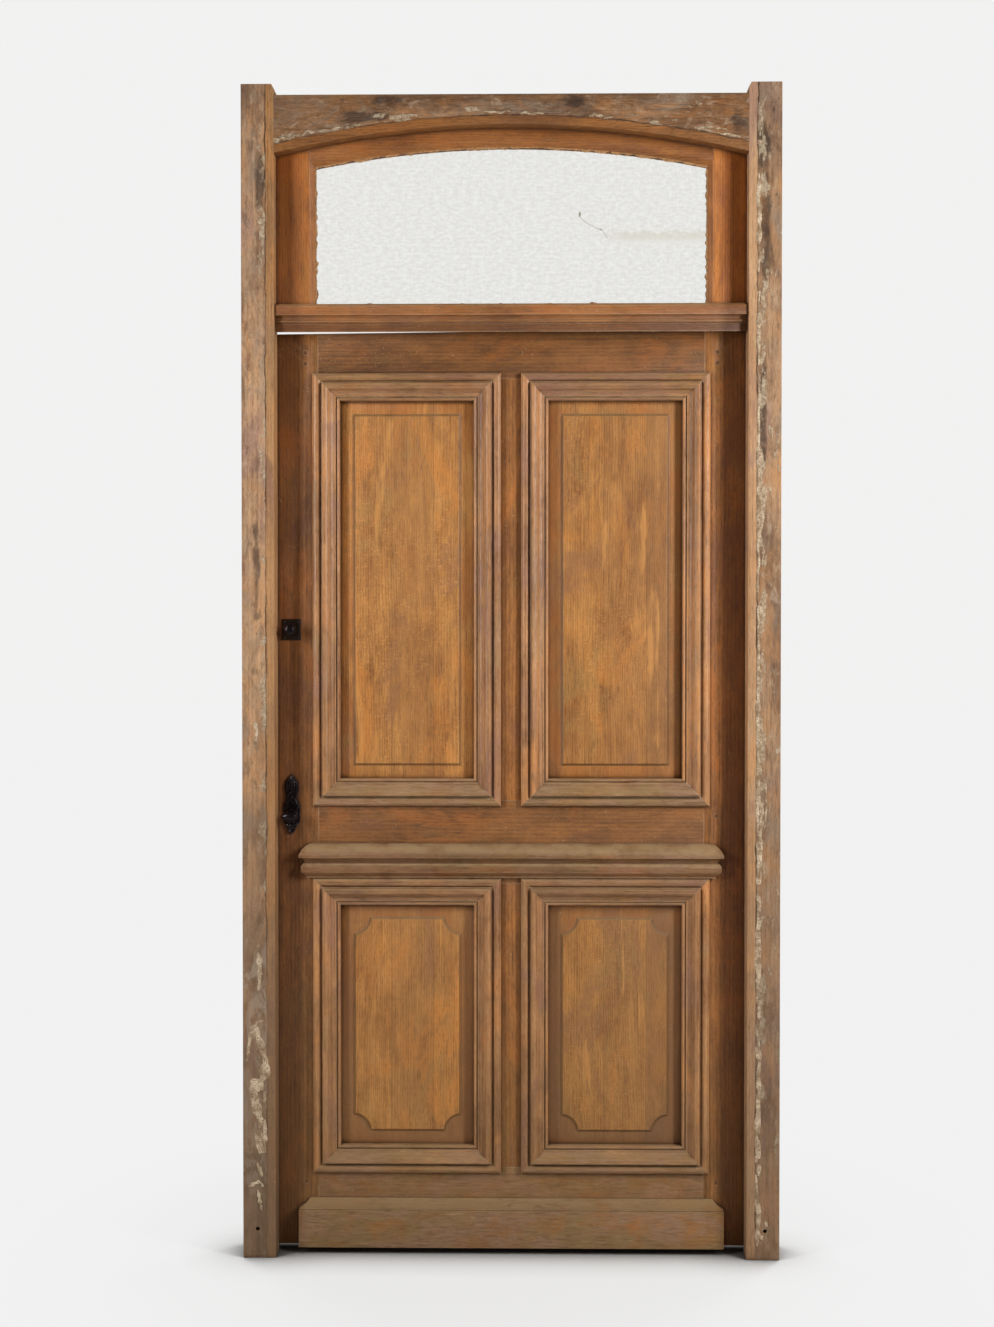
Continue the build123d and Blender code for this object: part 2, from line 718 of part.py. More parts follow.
def cap_runs(at):
    """The cap's section, from the leaf's face down and round to its top."""
    foot = cap_bottom + 4
    member_low = cap_bottom + 13
    member_high = cap_bottom + 28
    cove_low = cap_bottom + 32
    nose_low = cap_bottom + 46
    nose_high = nose_low + 5.5
    crest = cap_top - 3
    mid_slope = (nose_high + crest) / 2
    return (
        Polyline(at(0, cap_bottom), at(cap_foot_reach, cap_bottom), at(cap_foot_reach, foot))
        + ThreePointArc(at(cap_foot_reach, foot), at(cap_member_reach - 5.5, foot + 4.0),
                        at(cap_member_reach - 1.4, member_low))
        + Polyline(at(cap_member_reach - 1.4, member_low), at(cap_member_reach, member_low))
        + ThreePointArc(at(cap_member_reach, member_low),
                        at(cap_member_reach + 0.9, (member_low + member_high) / 2),
                        at(cap_member_reach, member_high))
        + Polyline(at(cap_member_reach, member_high), at(cap_member_reach - 3, cove_low),
                   at(cap_member_reach - 7, cove_low))
        + ThreePointArc(at(cap_member_reach - 7, cove_low),
                        at(cap_member_reach - 4.4, nose_low - 4.6),
                        at(cap_nose_reach - 3, nose_low))
        + Polyline(at(cap_nose_reach - 3, nose_low), at(cap_nose_reach, nose_low),
                   at(cap_nose_reach, nose_high))
        + ThreePointArc(at(cap_nose_reach, nose_high),
                        at((cap_nose_reach + cap_top_reach) / 2 + 2.6, mid_slope + 1.6),
                        at(cap_top_reach, crest))
        + Polyline(at(cap_top_reach, crest), at(0, cap_top), at(0, cap_bottom)))


plinth_top = leaf_floor_gap + plinth_height


def plinth_runs(at):
    """The plinth's section: a flat board under a quirk and a scotia-topped slope."""
    slope_foot = plinth_top - plinth_slope_drop
    quirk_low = slope_foot - 3.5
    return (
        Polyline(at(0, leaf_floor_gap), at(plinth_reach, leaf_floor_gap),
                 at(plinth_reach, quirk_low), at(plinth_reach - plinth_quirk, quirk_low),
                 at(plinth_reach - plinth_quirk, quirk_low + 2), at(plinth_reach - 0.6, quirk_low + 2),
                 at(plinth_reach - 0.6, slope_foot))
        + ThreePointArc(at(plinth_reach - 0.6, slope_foot),
                        at((plinth_reach + plinth_top_reach) / 2 - 2.2,
                           slope_foot + plinth_slope_drop / 2 - 2.2),
                        at(plinth_top_reach, plinth_top - 1))
        + Polyline(at(plinth_top_reach, plinth_top - 1), at(0, plinth_top), at(0, leaf_floor_gap)))


def cap():
    """The cap moulding between the lower panels and the lock rail."""
    base = stile_inner + moulding_lap + cap_base_beyond
    return returned_length(cap_runs, base, cap_nose_reach, cap_bottom, cap_top)


def plinth():
    """The plinth board across the leaf's foot."""
    base = stile_inner + moulding_lap + plinth_base_beyond
    return returned_length(plinth_runs, base, plinth_reach, leaf_floor_gap, plinth_top)


# Hinges

hinge_axis_x = rebate_half - leaf_side_gap / 2
hinge_axis_depth = leaf_back + hinge_axis_stand
hinge_plate_near = leaf_recess + hinge_plate_edge
hinge_bottoms = [leaf_floor_gap + hinge_end_inset - hinge_height / 2
                 + i * (leaf_top_lock - leaf_floor_gap - 2 * hinge_end_inset) / (hinge_count - 1)
                 for i in range(hinge_count)]
knuckle_height = (hinge_height - hinge_ring_height) / 2


def frame_plate(bottom, spread):
    """The hinge plate let into the jamb."""
    return block(rebate_half, rebate_half + hinge_plate_thickness, hinge_plate_near,
                 frame_depth, bottom - spread, bottom + hinge_height + spread)


def leaf_plate(bottom, spread):
    """The hinge plate let into the leaf's edge."""
    return block(leaf_half - hinge_plate_thickness, leaf_half, hinge_plate_near,
                 leaf_back, bottom - spread, bottom + hinge_height + spread)


def frame_hinge(bottom):
    """The lower half of a lift-off hinge: plate, knuckle and pin."""
    knuckle_top = bottom + knuckle_height
    half = frame_plate(bottom, 0)
    half += block(rebate_half, rebate_half + hinge_plate_thickness, frame_depth,
                  hinge_axis_depth, bottom, knuckle_top)
    half += rod_upright(hinge_axis_x, hinge_axis_depth, bottom, knuckle_top, hinge_knuckle_radius)
    half += rod_upright(hinge_axis_x, hinge_axis_depth, bottom, bottom + hinge_height - 4,
                        hinge_pin_radius)
    return half


def leaf_hinge(bottom):
    """The upper half of a lift-off hinge: plate and bored knuckle, with a domed cap."""
    knuckle_low = bottom + knuckle_height + hinge_ring_height
    knuckle_top = bottom + hinge_height
    half = leaf_plate(bottom, 0)
    half += block(leaf_half - hinge_plate_thickness, leaf_half, leaf_back,
                  hinge_axis_depth, knuckle_low, knuckle_top)
    half += rod_upright(hinge_axis_x, hinge_axis_depth, knuckle_low, knuckle_top,
                        hinge_knuckle_radius)
    half -= rod_upright(hinge_axis_x, hinge_axis_depth, knuckle_low, knuckle_top - 3,
                        hinge_pin_radius + hinge_pin_clearance)
    return half


def hinge_ring(bottom):
    """The ring that carries the upper knuckle on the lower one."""
    low = bottom + knuckle_height
    ring = rod_upright(hinge_axis_x, hinge_axis_depth, low, low + hinge_ring_height,
                       hinge_knuckle_radius)
    return ring - rod_upright(hinge_axis_x, hinge_axis_depth, low, low + hinge_ring_height,
                              hinge_pin_radius + hinge_pin_clearance)


# Latch and night bolt. Each has a case in the lock stile, a crank on a square spindle,
# and a bolt whose tail has a slot for the crank's pin.

class Lock:
    """The sizes of one lock. Heights are counted from its spindle."""

    def __init__(self, height, swing, pin_radius, hub_radius, spindle_size,
                 bolt_height, bolt_middle, below, above, case_depth, thrown, sign):
        self.z = height
        self.swing = math.radians(swing)
        self.pin_radius = pin_radius
        self.hub_radius = hub_radius
        self.spindle_size = spindle_size
        self.bolt_height = bolt_height
        self.bolt_middle = bolt_middle
        self.below = below
        self.above = above
        self.case_depth = case_depth
        self.thrown = thrown
        self.sign = sign
        self.crank_radius = bolt_throw / (2 * math.sin(self.swing / 2))


latch = Lock(height=handle_height, swing=45.0, pin_radius=3.0, hub_radius=7.5, spindle_size=7.0,
             bolt_height=18.0, bolt_middle=28.0, below=case_height_below, above=case_height_above,
             case_depth=70.0, thrown=True, sign=-1)
night = Lock(height=knob_height, swing=90.0, pin_radius=2.5, hub_radius=5.5, spindle_size=6.0,
             bolt_height=16.0, bolt_middle=16.0, below=26.0, above=34.0,
             case_depth=58.0, thrown=False, sign=1)

case_near = leaf_mid - case_thickness / 2
case_far = leaf_mid + case_thickness / 2
forend_near = leaf_mid - forend_width / 2
forend_far = leaf_mid + forend_width / 2
forend_inner = -leaf_half + forend_thickness
bolt_near = case_near + case_wall + bolt_slack
bolt_far = case_far - case_wall - bolt_slack
crank_near = bolt_near
crank_far = crank_near + crank_thickness
tail_near = crank_far + bolt_slack
tail_far = bolt_far


def bolt_nose(lock):
    """Where the bolt's nose is at rest."""
    retracted = -leaf_half + bolt_rest_gap
    return retracted - bolt_throw if lock.thrown else retracted


def pin_place(lock):
    """Where the crank's pin is at rest."""
    offset = lock.sign * lock.crank_radius * math.sin(lock.swing / 2)
    return spindle_x + offset, lock.z + lock.crank_radius * math.cos(lock.swing / 2)


def bolt_window(lock, spread, x0, x1):
    """The bolt's own section, larger by spread, from x0 to x1."""
    middle = lock.z + lock.bolt_middle
    half = lock.bolt_height / 2 + spread
    return block(x0, x1, bolt_near - spread, bolt_far + spread, middle - half, middle + half)


def lock_case(lock):
    """A sheet case with its forend, open for the bolt and bored for the crank's hub."""
    outer = block(forend_inner, forend_inner + lock.case_depth, case_near, case_far,
                  lock.z - lock.below, lock.z + lock.above)
    cavity = block(forend_inner + case_wall, forend_inner + lock.case_depth - case_wall,
                   case_near + case_wall, case_far - case_wall,
                   lock.z - lock.below + case_wall, lock.z + lock.above - case_wall)
    forend = block(-leaf_half, forend_inner, forend_near, forend_far,
                   lock.z - lock.below - keep_margin / 2, lock.z + lock.above + keep_margin / 2)
    case = outer - cavity + forend
    case -= bolt_window(lock, bolt_slack, -leaf_half, forend_inner + case_wall)
    return case - rod_through(spindle_x, lock.z, case_near, case_far,
                              lock.hub_radius + running_clearance)


def lock_mortise(lock):
    """What the lock stile loses to the case, the forend and the spindle."""
    pocket = block(forend_inner, forend_inner + lock.case_depth, case_near, case_far,
                   lock.z - lock.below, lock.z + lock.above)
    pocket += block(-leaf_half, forend_inner, forend_near, forend_far,
                    lock.z - lock.below - keep_margin / 2, lock.z + lock.above + keep_margin / 2)
    return pocket + rod_through(spindle_x, lock.z, leaf_recess, leaf_back, lock.hub_radius + 1)


def crank(lock):
    """The crank: a hub on the spindle, an arm and the pin that moves the bolt."""
    pin_x, pin_z = pin_place(lock)
    arm_radius = lock.pin_radius + 1.5
    hub = rod_through(spindle_x, lock.z, case_near, case_far, lock.hub_radius)
    arm = rod_through(pin_x, pin_z, crank_near, crank_far, arm_radius)
    length = lock.crank_radius
    turn = math.degrees(math.atan2(pin_z - lock.z, pin_x - spindle_x))
    web = Pos((spindle_x + pin_x) / 2, (lock.z + pin_z) / 2) * Rot(0, 0, turn) * Rectangle(
        length, 2 * arm_radius)
    arm += slab(web, crank_near, crank_far)
    pin = rod_through(pin_x, pin_z, crank_far, tail_far, lock.pin_radius)
    side = lock.spindle_size
    square = block(spindle_x - side / 2, spindle_x + side / 2, case_near, case_far,
                   lock.z - side / 2, lock.z + side / 2)
    return hub + arm + pin - square


def bolt(lock, bevelled):
    """The bolt: a stout head and a thin tail with an open slot."""
    nose = bolt_nose(lock)
    shoulder = -leaf_half + 25 - (bolt_throw if lock.thrown else 0)
    head_block = bolt_window(lock, 0, nose, shoulder)
    if bevelled:
        wedge = make_face(Polyline((nose, bolt_near), (nose + bolt_throw - 1.5, bolt_near),
                                   (nose, bolt_far - 2), close=True))
        low = lock.z + lock.bolt_middle - lock.bolt_height / 2
        head_block -= extrude(Plane.XY.offset(low) * wedge, amount=lock.bolt_height)
    pin_x, pin_z = pin_place(lock)
    gap = lock.pin_radius + pin_slack
    tail_low = lock.z + lock.hub_radius + 0.7
    tail_high = lock.z + lock.bolt_middle + 2
    slot_top = lock.z + lock.crank_radius + lock.pin_radius + 1
    tail_end = pin_x + gap + 5
    tail = block(shoulder, tail_end, tail_near, tail_far, tail_low, tail_high)
    tail -= block(pin_x - gap, pin_x + gap, tail_near, tail_far, tail_low, slot_top)
    return head_block + tail


def spindle_bar(lock, stand):
    """The square bar from one knob to the other."""
    side = lock.spindle_size
    reach = stand - 12
    return block(spindle_x - side / 2, spindle_x + side / 2, leaf_recess - reach, leaf_back + reach,
                 lock.z - side / 2, lock.z + side / 2)


def keep_plate(lock):
    """The keep let into the lock jamb, with a lip out to the room's side."""
    middle = lock.z + lock.bolt_middle
    half = lock.bolt_height / 2 + keep_margin
    near = leaf_mid - keep_width / 2
    plate = block(-rebate_half - keep_thickness, -rebate_half, near, frame_depth,
                  middle - half, middle + half)
    return plate - bolt_window(lock, keep_pocket_gap, -rebate_half - keep_thickness, -rebate_half)


def keep_mortise(lock):
    """What the lock jamb loses to the keep and the bolt's pocket."""
    middle = lock.z + lock.bolt_middle
    half = lock.bolt_height / 2 + keep_margin
    near = leaf_mid - keep_width / 2
    seat = block(-rebate_half - keep_thickness, -rebate_half, near, frame_depth,
                 middle - half, middle + half)
    pocket_end = -leaf_half - bolt_throw - keep_pocket_gap
    return seat + bolt_window(lock, keep_pocket_gap, pocket_end, -rebate_half)


def rococo_face(width, height):
    """The handle plate's lobed outline about its own middle."""
    half = [(0.0, 0.5), (0.14, 0.47), (0.22, 0.425), (0.36, 0.385), (0.42, 0.31), (0.40, 0.23),
            (0.31, 0.12), (0.37, 0.06), (0.47, 0.0), (0.49, -0.10), (0.48, -0.20), (0.49, -0.27),
            (0.42, -0.33), (0.28, -0.37), (0.22, -0.42), (0.13, -0.47), (0.0, -0.5)]
    right = [(width * u, height * v) for u, v in half]
    left = [(-x, z) for x, z in reversed(right)]
    return make_face(Spline(right) + Spline(left))


plate_centre_z = handle_height + handle_plate_rise


def handle_plate(outside):
    """The long lobed plate with a raised middle and a collar round the neck."""
    outline = Pos(spindle_x, plate_centre_z) * rococo_face(handle_plate_width, handle_plate_height)
    relief = Pos(spindle_x, plate_centre_z) * rococo_face(handle_plate_width * 0.68,
                                                          handle_plate_height * 0.70)
    collar_radius = neck_radius + 4
    if outside:
        face = leaf_recess - plate_thickness
        plate = slab(outline, face, leaf_recess)
        plate += slab(relief, face - relief_thickness, face)
        plate += rod_through(spindle_x, handle_height, face - relief_thickness - 1, face, collar_radius)
    else:
        face = leaf_back + plate_thickness
        plate = slab(outline, leaf_back, face)
        plate += slab(relief, face, face + relief_thickness)
        plate += rod_through(spindle_x, handle_height, face, face + relief_thickness + 1, collar_radius)
    plate -= rod_through(spindle_x, handle_height, leaf_recess - 20, leaf_back + 20,
                         neck_radius + neck_clearance)
    return plate


def knob_plate(outside):
    """The square plate under the night bolt's knob, its face bevelled all round."""
    half_w, half_h = knob_plate_width / 2, knob_plate_height / 2
    outline = rectangle(spindle_x - half_w, spindle_x + half_w, knob_height - half_h,
                        knob_height + half_h)
    low, high = ((leaf_recess - plate_thickness, leaf_recess) if outside
                 else (leaf_back, leaf_back + plate_thickness))
    plate = slab(outline, low, high)
    faces = plate.faces().sort_by(Axis.Y)
    front = faces[0] if outside else faces[-1]
    plate = chamfer(front.edges(), knob_plate_bevel, knob_plate_bevel * 0.75)
    plate -= rod_through(spindle_x, knob_height, low, high, neck_radius - 1 + neck_clearance)
    return plate


def olive_handle(outside):
    """An oval handle on a turned neck, with a square socket for the spindle."""
    reach = olive_stand
    start = plate_thickness - 2.0
    half_length, radius = olive_length / 2, olive_diameter / 2
    neck = (Polyline((0, start), (neck_radius, start), (neck_radius, plate_thickness + 3),
                     (neck_radius + 3, plate_thickness + 4), (neck_radius + 3, plate_thickness + 6))
            + ThreePointArc((neck_radius + 3, plate_thickness + 6), (6.2, reach - 19),
                            (7.5, reach - radius + 2.5))
            + Polyline((7.5, reach - radius + 2.5), (0, reach - radius + 2.5), (0, start)))
    base = leaf_back if not outside else leaf_recess
    handle = turned(neck, spindle_x, handle_height, base, not outside)
    end = (half_length, 2.5)
    tip = (half_length * 0.92, radius * 0.52)
    shoulder = (half_length * 0.7, radius * 0.76)
    oval = make_face(
        Polyline((half_length, 0), end)
        + ThreePointArc(end, tip, shoulder)
        + ThreePointArc(shoulder, (0, radius), (-shoulder[0], shoulder[1]))
        + ThreePointArc((-shoulder[0], shoulder[1]), (-tip[0], tip[1]), (-end[0], end[1]))
        + Polyline((-end[0], end[1]), (-half_length, 0), (half_length, 0)))
    body = Rot(90, 0, 0) * revolve(oval, axis=Axis.X, revolution_arc=360)
    depth = base + reach if not outside else base - reach
    handle += Pos(spindle_x, depth, handle_height) * body
    return handle - spindle_bar(latch, olive_stand)


def round_knob(outside):
    """The night bolt's turned knob, with a square socket for its spindle."""
    radius = knob_diameter / 2
    start = plate_thickness - 2.0
    reach = knob_stand
    neck_out = neck_radius - 1
    flange_near, flange_far = plate_thickness + 3, plate_thickness + 5
    ball_foot = reach - radius * 0.75
    crown = reach + radius * 0.7
    profile = (Polyline((0, start), (neck_out, start), (neck_out, flange_near),
                        (neck_out + 2.5, flange_near), (neck_out + 2.5, flange_far))
               + ThreePointArc((neck_out + 2.5, flange_far), (6.4, flange_far + 4.5),
                               (7.5, ball_foot))
               + ThreePointArc((7.5, ball_foot), (radius, reach), (radius * 0.6, crown))
               + Polyline((radius * 0.6, crown), (radius * 0.3, crown + 1.2),
                          (0, crown + 1.2), (0, start)))
    base = leaf_back if not outside else leaf_recess
    knob = turned(profile, spindle_x, knob_height, base, not outside)
    return knob - spindle_bar(night, knob_stand)


def main():
    right_jamb = jamb()
    left_jamb = mirror(right_jamb, about=Plane.YZ)
    for bottom in hinge_bottoms:
        right_jamb -= frame_plate(bottom, 0)
    for lock in (latch, night):
        left_jamb -= keep_mortise(lock)
    save("jamb_left", left_jamb)
    save("jamb_right", right_jamb)
    save("arched_head", head())
    save("transom", transom())
    pegs = frame_pegs(frame_peg_radius)
    save("frame_pegs", *pegs, *[mirror(peg, about=Plane.YZ) for peg in pegs])

    stile, top_rail, bottom_rail = sash_pieces()
    save("fanlight_stile_right", stile)
    save("fanlight_stile_left", mirror(stile, about=Plane.YZ))
    save("fanlight_top_rail", top_rail)
    save("fanlight_bottom_rail", bottom_rail)
    save("fanlight_glass", glass_pane())
    side_bead, top_bead, bottom_bead = glazing_beads()
    save("glazing_bead_right", side_bead)
    save("glazing_bead_left", mirror(side_bead, about=Plane.YZ))
    save("glazing_bead_top", top_bead)
    save("glazing_bead_bottom", bottom_bead)

    members = leaf_members()
    for lock in (latch, night):
        members["lock_stile"] -= lock_mortise(lock)
    for bottom in hinge_bottoms:
        members["hinge_stile"] -= leaf_plate(bottom, 0)
    for name, solid in members.items():
        save("leaf_" + name, solid)
    save("leaf_pegs", *leaf_pegs(leaf_peg_radius))
    for name, opening in openings.items():
        save("moulding_" + name, *moulding_frame(opening))
        save("panel_" + name, panel(opening, scoop_radius if "lower" in name else 0))
    save("cap_moulding", cap())
    save("plinth", plinth())

    for number, bottom in enumerate(hinge_bottoms, 1):
        save("hinge_%d_frame_half" % number, frame_hinge(bottom))
        save("hinge_%d_leaf_half" % number, leaf_hinge(bottom))
    save("hinge_rings", *[hinge_ring(bottom) for bottom in hinge_bottoms])

    for lock, name in ((latch, "latch"), (night, "night_bolt")):
        save(name + "_case", lock_case(lock))
        save(name + "_crank", crank(lock))
        save(name + "_keep", keep_plate(lock))
    save("latch_tongue", bolt(latch, True))
    save("night_bolt_tongue", bolt(night, False))
    save("handle_spindle", spindle_bar(latch, olive_stand))
    save("knob_spindle", spindle_bar(night, knob_stand))
    for outside, side in ((True, "outer"), (False, "inner")):
        save("handle_plate_" + side, handle_plate(outside))
        save("olive_handle_" + side, olive_handle(outside))
        save("knob_plate_" + side, knob_plate(outside))
        save("round_knob_" + side, round_knob(outside))

    print("arch radius %.1f, doorway %.0f wide and %.0f high, leaf %.0f by %.0f by %.0f"
          % (arch_radius, 2 * clear_half, transom_bottom, 2 * leaf_half,
             leaf_top_hinge - leaf_floor_gap, leaf_thickness))
    print("hinge axis x %.1f, y %.1f; hinges start at %s"
          % (hinge_axis_x, hinge_axis_depth - row_centre, ["%.0f" % z for z in hinge_bottoms]))
    print("spindle x %.1f, y %.1f; cranks %.2f and %.2f; row centre depth %.2f"
          % (spindle_x, leaf_mid - row_centre, latch.crank_radius, night.crank_radius, row_centre))


main()
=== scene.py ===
# %% [markdown]
# # An arched oak entrance door
# This lesson dresses a finished CAD model of an old entrance door: jambs and an arched head
# that came out of a wall, a fanlight with hammered glass, and a leaf with heavy bolection
# mouldings. The CAD gives every shape its place. Here the boards get soft edges, grain,
# dirt and wear, some of it painted shade and highlight, and the mouldings, glass, mortar and
# small fasteners are made as surfaces.

# %% Load the frame
import json
import math

import bmesh
import bpy
import numpy as np
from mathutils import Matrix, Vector


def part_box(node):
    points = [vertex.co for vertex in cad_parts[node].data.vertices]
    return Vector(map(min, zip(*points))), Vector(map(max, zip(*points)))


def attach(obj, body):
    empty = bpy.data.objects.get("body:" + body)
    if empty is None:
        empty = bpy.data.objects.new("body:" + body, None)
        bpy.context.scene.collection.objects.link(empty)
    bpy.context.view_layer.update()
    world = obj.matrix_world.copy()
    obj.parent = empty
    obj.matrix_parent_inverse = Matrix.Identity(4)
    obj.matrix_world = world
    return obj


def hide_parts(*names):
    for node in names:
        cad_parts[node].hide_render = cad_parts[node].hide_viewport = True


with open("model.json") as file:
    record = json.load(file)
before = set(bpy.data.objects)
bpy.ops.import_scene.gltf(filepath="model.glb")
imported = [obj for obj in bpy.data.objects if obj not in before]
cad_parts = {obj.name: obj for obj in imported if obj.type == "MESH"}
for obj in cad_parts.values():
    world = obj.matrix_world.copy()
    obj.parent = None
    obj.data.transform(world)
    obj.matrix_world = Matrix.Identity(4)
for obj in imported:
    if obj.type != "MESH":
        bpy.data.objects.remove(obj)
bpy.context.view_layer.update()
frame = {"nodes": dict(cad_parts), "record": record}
nodes = frame["nodes"]
body_of = {n: b for b, ns in frame["record"]["behaviour"]["bodies"].items() for n in ns}
slot_of = {part["node"]: part["material_slot"] for part in frame["record"]["subparts"]}
MM = 0.001

# %% [markdown]
# The joiner's own sizes are easier to think in than the row's coordinates, so depth is
# counted in millimetres from the outer face of the jambs towards the room. Everything
# else is read from the boxes of the CAD nodes.

# %% Sizes taken from the frame
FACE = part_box("jamb_left")[0].y
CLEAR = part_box("jamb_right")[0].x
HALF_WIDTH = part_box("jamb_right")[1].x
LEAF_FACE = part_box("leaf_lock_stile")[0].y
LEAF_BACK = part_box("leaf_lock_stile")[1].y
HEAD_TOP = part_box("arched_head")[1].z
rng = np.random.default_rng(7)
print("outer face at y %.4f, leaf face %.1f mm behind it" % (FACE, (LEAF_FACE - FACE) / MM))


def depth(mm):
    """The row's y at so many millimetres behind the frame's outer face."""
    return FACE + mm * MM


def tint(r, g, b):
    """A colour written as it shows on a screen, 0 to 255, turned into light."""
    c = np.array([r, g, b]) / 255.0
    c = np.where(c <= 0.04045, c / 12.92, ((c + 0.055) / 1.055) ** 2.4)
    return (*[float(v) for v in c], 1.0)


# %% [markdown]
# A material is a small tree of nodes. A class with one short method per kind of node lets
# each finish below be read like a recipe: which noise, how far it is stretched along the
# grain, and what it does to the colour, the gloss and the relief.

# %% A recipe book for materials
class Finish:
    """One material. Each method adds a node and returns its output socket."""

    def __init__(self, name):
        self.material = bpy.data.materials.new(name)
        self.material.use_nodes = True
        self.tree = self.material.node_tree
        self.shader = self.tree.nodes["Principled BSDF"]
        self.coordinates = self.tree.nodes.new("ShaderNodeTexCoord").outputs["Object"]

    def add(self, kind, values=(), output=0, **settings):
        """A node of that kind, its inputs filled in order or by name, by a value or a socket."""
        made = self.tree.nodes.new(kind)
        for key, value in settings.items():
            setattr(made, key, value)
        pairs = values.items() if isinstance(values, dict) else enumerate(values)
        for key, value in pairs:
            if value is None:
                continue
            if isinstance(value, bpy.types.NodeSocket):
                self.tree.links.new(value, made.inputs[key])
            else:
                made.inputs[key].default_value = value
        return made.outputs[output]

    def attribute(self, name, kind="Vector"):
        return self.add("ShaderNodeAttribute", output=kind, attribute_name=name)

    def math(self, operation, *values, clamp=False):
        return self.add("ShaderNodeMath", values, operation=operation, use_clamp=clamp)

    def times(self, a, b):
        return self.math("MULTIPLY", a, b)

    def plus(self, a, b, c, clamp=False):
        """a times b, plus c."""
        return self.math("MULTIPLY_ADD", a, b, c, clamp=clamp)

    def minus(self, a, b):
        return self.math("SUBTRACT", a, b)

    def apart(self, a, b):
        """The distance between two numbers."""
        return self.math("ABSOLUTE", self.minus(a, b))

    def squares(self, a, b):
        return self.math("ADD", self.math("POWER", a, 2.0), self.math("POWER", b, 2.0))

    def split(self, vector):
        made = self.tree.nodes.new("ShaderNodeSeparateXYZ")
        self.tree.links.new(vector, made.inputs[0])
        return made.outputs[0], made.outputs[1], made.outputs[2]

    def stretch(self, vector, scale, place=(0, 0, 0), turn=(0, 0, 0)):
        return self.add("ShaderNodeMapping", {"Vector": vector, "Scale": scale,
                                              "Location": place, "Rotation": turn})

    def noise(self, vector, scale=1.0, detail=2.0, rough=0.5, twist=0.0):
        return self.add("ShaderNodeTexNoise", {"Vector": vector, "Scale": scale, "Detail": detail,
                                               "Roughness": rough, "Distortion": twist}, "Fac")

    def drawn(self, vector, scale, detail=2.0, rough=0.5, twist=0.0, **shift):
        """Noise that is stretched by its own scale along each axis."""
        return self.noise(self.stretch(vector, scale, **shift), 1, detail, rough, twist)

    def band(self, value, low, high, to_low=0.0, to_high=1.0):
        """A smooth step of the value from low to high."""
        return self.add("ShaderNodeMapRange", [value, low, high, to_low, to_high],
                        interpolation_type="SMOOTHSTEP", clamp=True)

    def mix(self, factor, a, b, blend="MIX"):
        made = self.tree.nodes.new("ShaderNodeMix")
        made.data_type = "RGBA"
        made.blend_type = blend
        made.clamp_factor = True
        for socket, value in ((made.inputs[0], factor), (made.inputs[6], a), (made.inputs[7], b)):
            if isinstance(value, bpy.types.NodeSocket):
                self.tree.links.new(value, socket)
            else:
                socket.default_value = value
        return made.outputs[2]

    def total(self, start, *parts):
        """The start plus each part times its weight."""
        for part, weight in parts:
            start = self.plus(part, weight, start)
        return start

    def lay(self, colour, *layers):
        """Lays colours over the first one: each has its mask, its share and its colour."""
        for mask, share, over in layers:
            colour = self.mix(self.times(mask, share), colour, over)
        return colour

    def relief(self, height, distance, normal=None, strength=1.0):
        """Bump from a height between 0 and 1 that stands for so many metres."""
        return self.add("ShaderNodeBump", {"Strength": strength, "Distance": distance,
                                           "Height": height, "Normal": normal})

    def crevice(self, reach):
        """0 in corners and quirks, 1 in the open."""
        return self.add("ShaderNodeAmbientOcclusion", {"Distance": reach}, "AO", samples=6)

    def edge(self, radius):
        """1 on the arrises, 0 on the flats: how far a rounded normal leans from the true one."""
        rounded = self.add("ShaderNodeBevel", {"Radius": radius}, "Normal", samples=4)
        true = self.add("ShaderNodeNewGeometry", output="Normal")
        lean = self.add("ShaderNodeVectorMath", [rounded, true], "Value", operation="DOT_PRODUCT")
        return self.band(lean, 0.995, 0.9)

    def facing(self, axis=2):
        """How far a face looks along an axis: 2 is up, 1 is into the room."""
        true = self.add("ShaderNodeNewGeometry", output="Normal")
        return self.split(true)[axis]

    def set(self, **sockets):
        """Fills the shader's own inputs, with underscores for spaces."""
        for key, value in sockets.items():
            socket = self.shader.inputs[key.replace("_", " ")]
            if isinstance(value, bpy.types.NodeSocket):
                self.tree.links.new(value, socket)
            else:
                socket.default_value = value
        return self.material


# %% [markdown]
# Every board is one piece of oak, with its own stretch of grain. So each piece of wood
# carries an attribute called grain: its place across, into and along its own board, with a
# random shift per board. One recipe then gives stiles upright grain and rails level grain,
# and no line runs on from one board into the next, as at real joints.
#
# Oak shows several things at once: slow clouds of tone, growth rings, fine fibres, short
# dark pores, a few drying checks, and on a quarter-sawn board pale ray flecks across them.

# %% Oak
def graded(colour, r, g, b):
    """A colour with each of its channels multiplied."""
    return (colour[0] * r, colour[1] * g, colour[2] * b, 1.0)


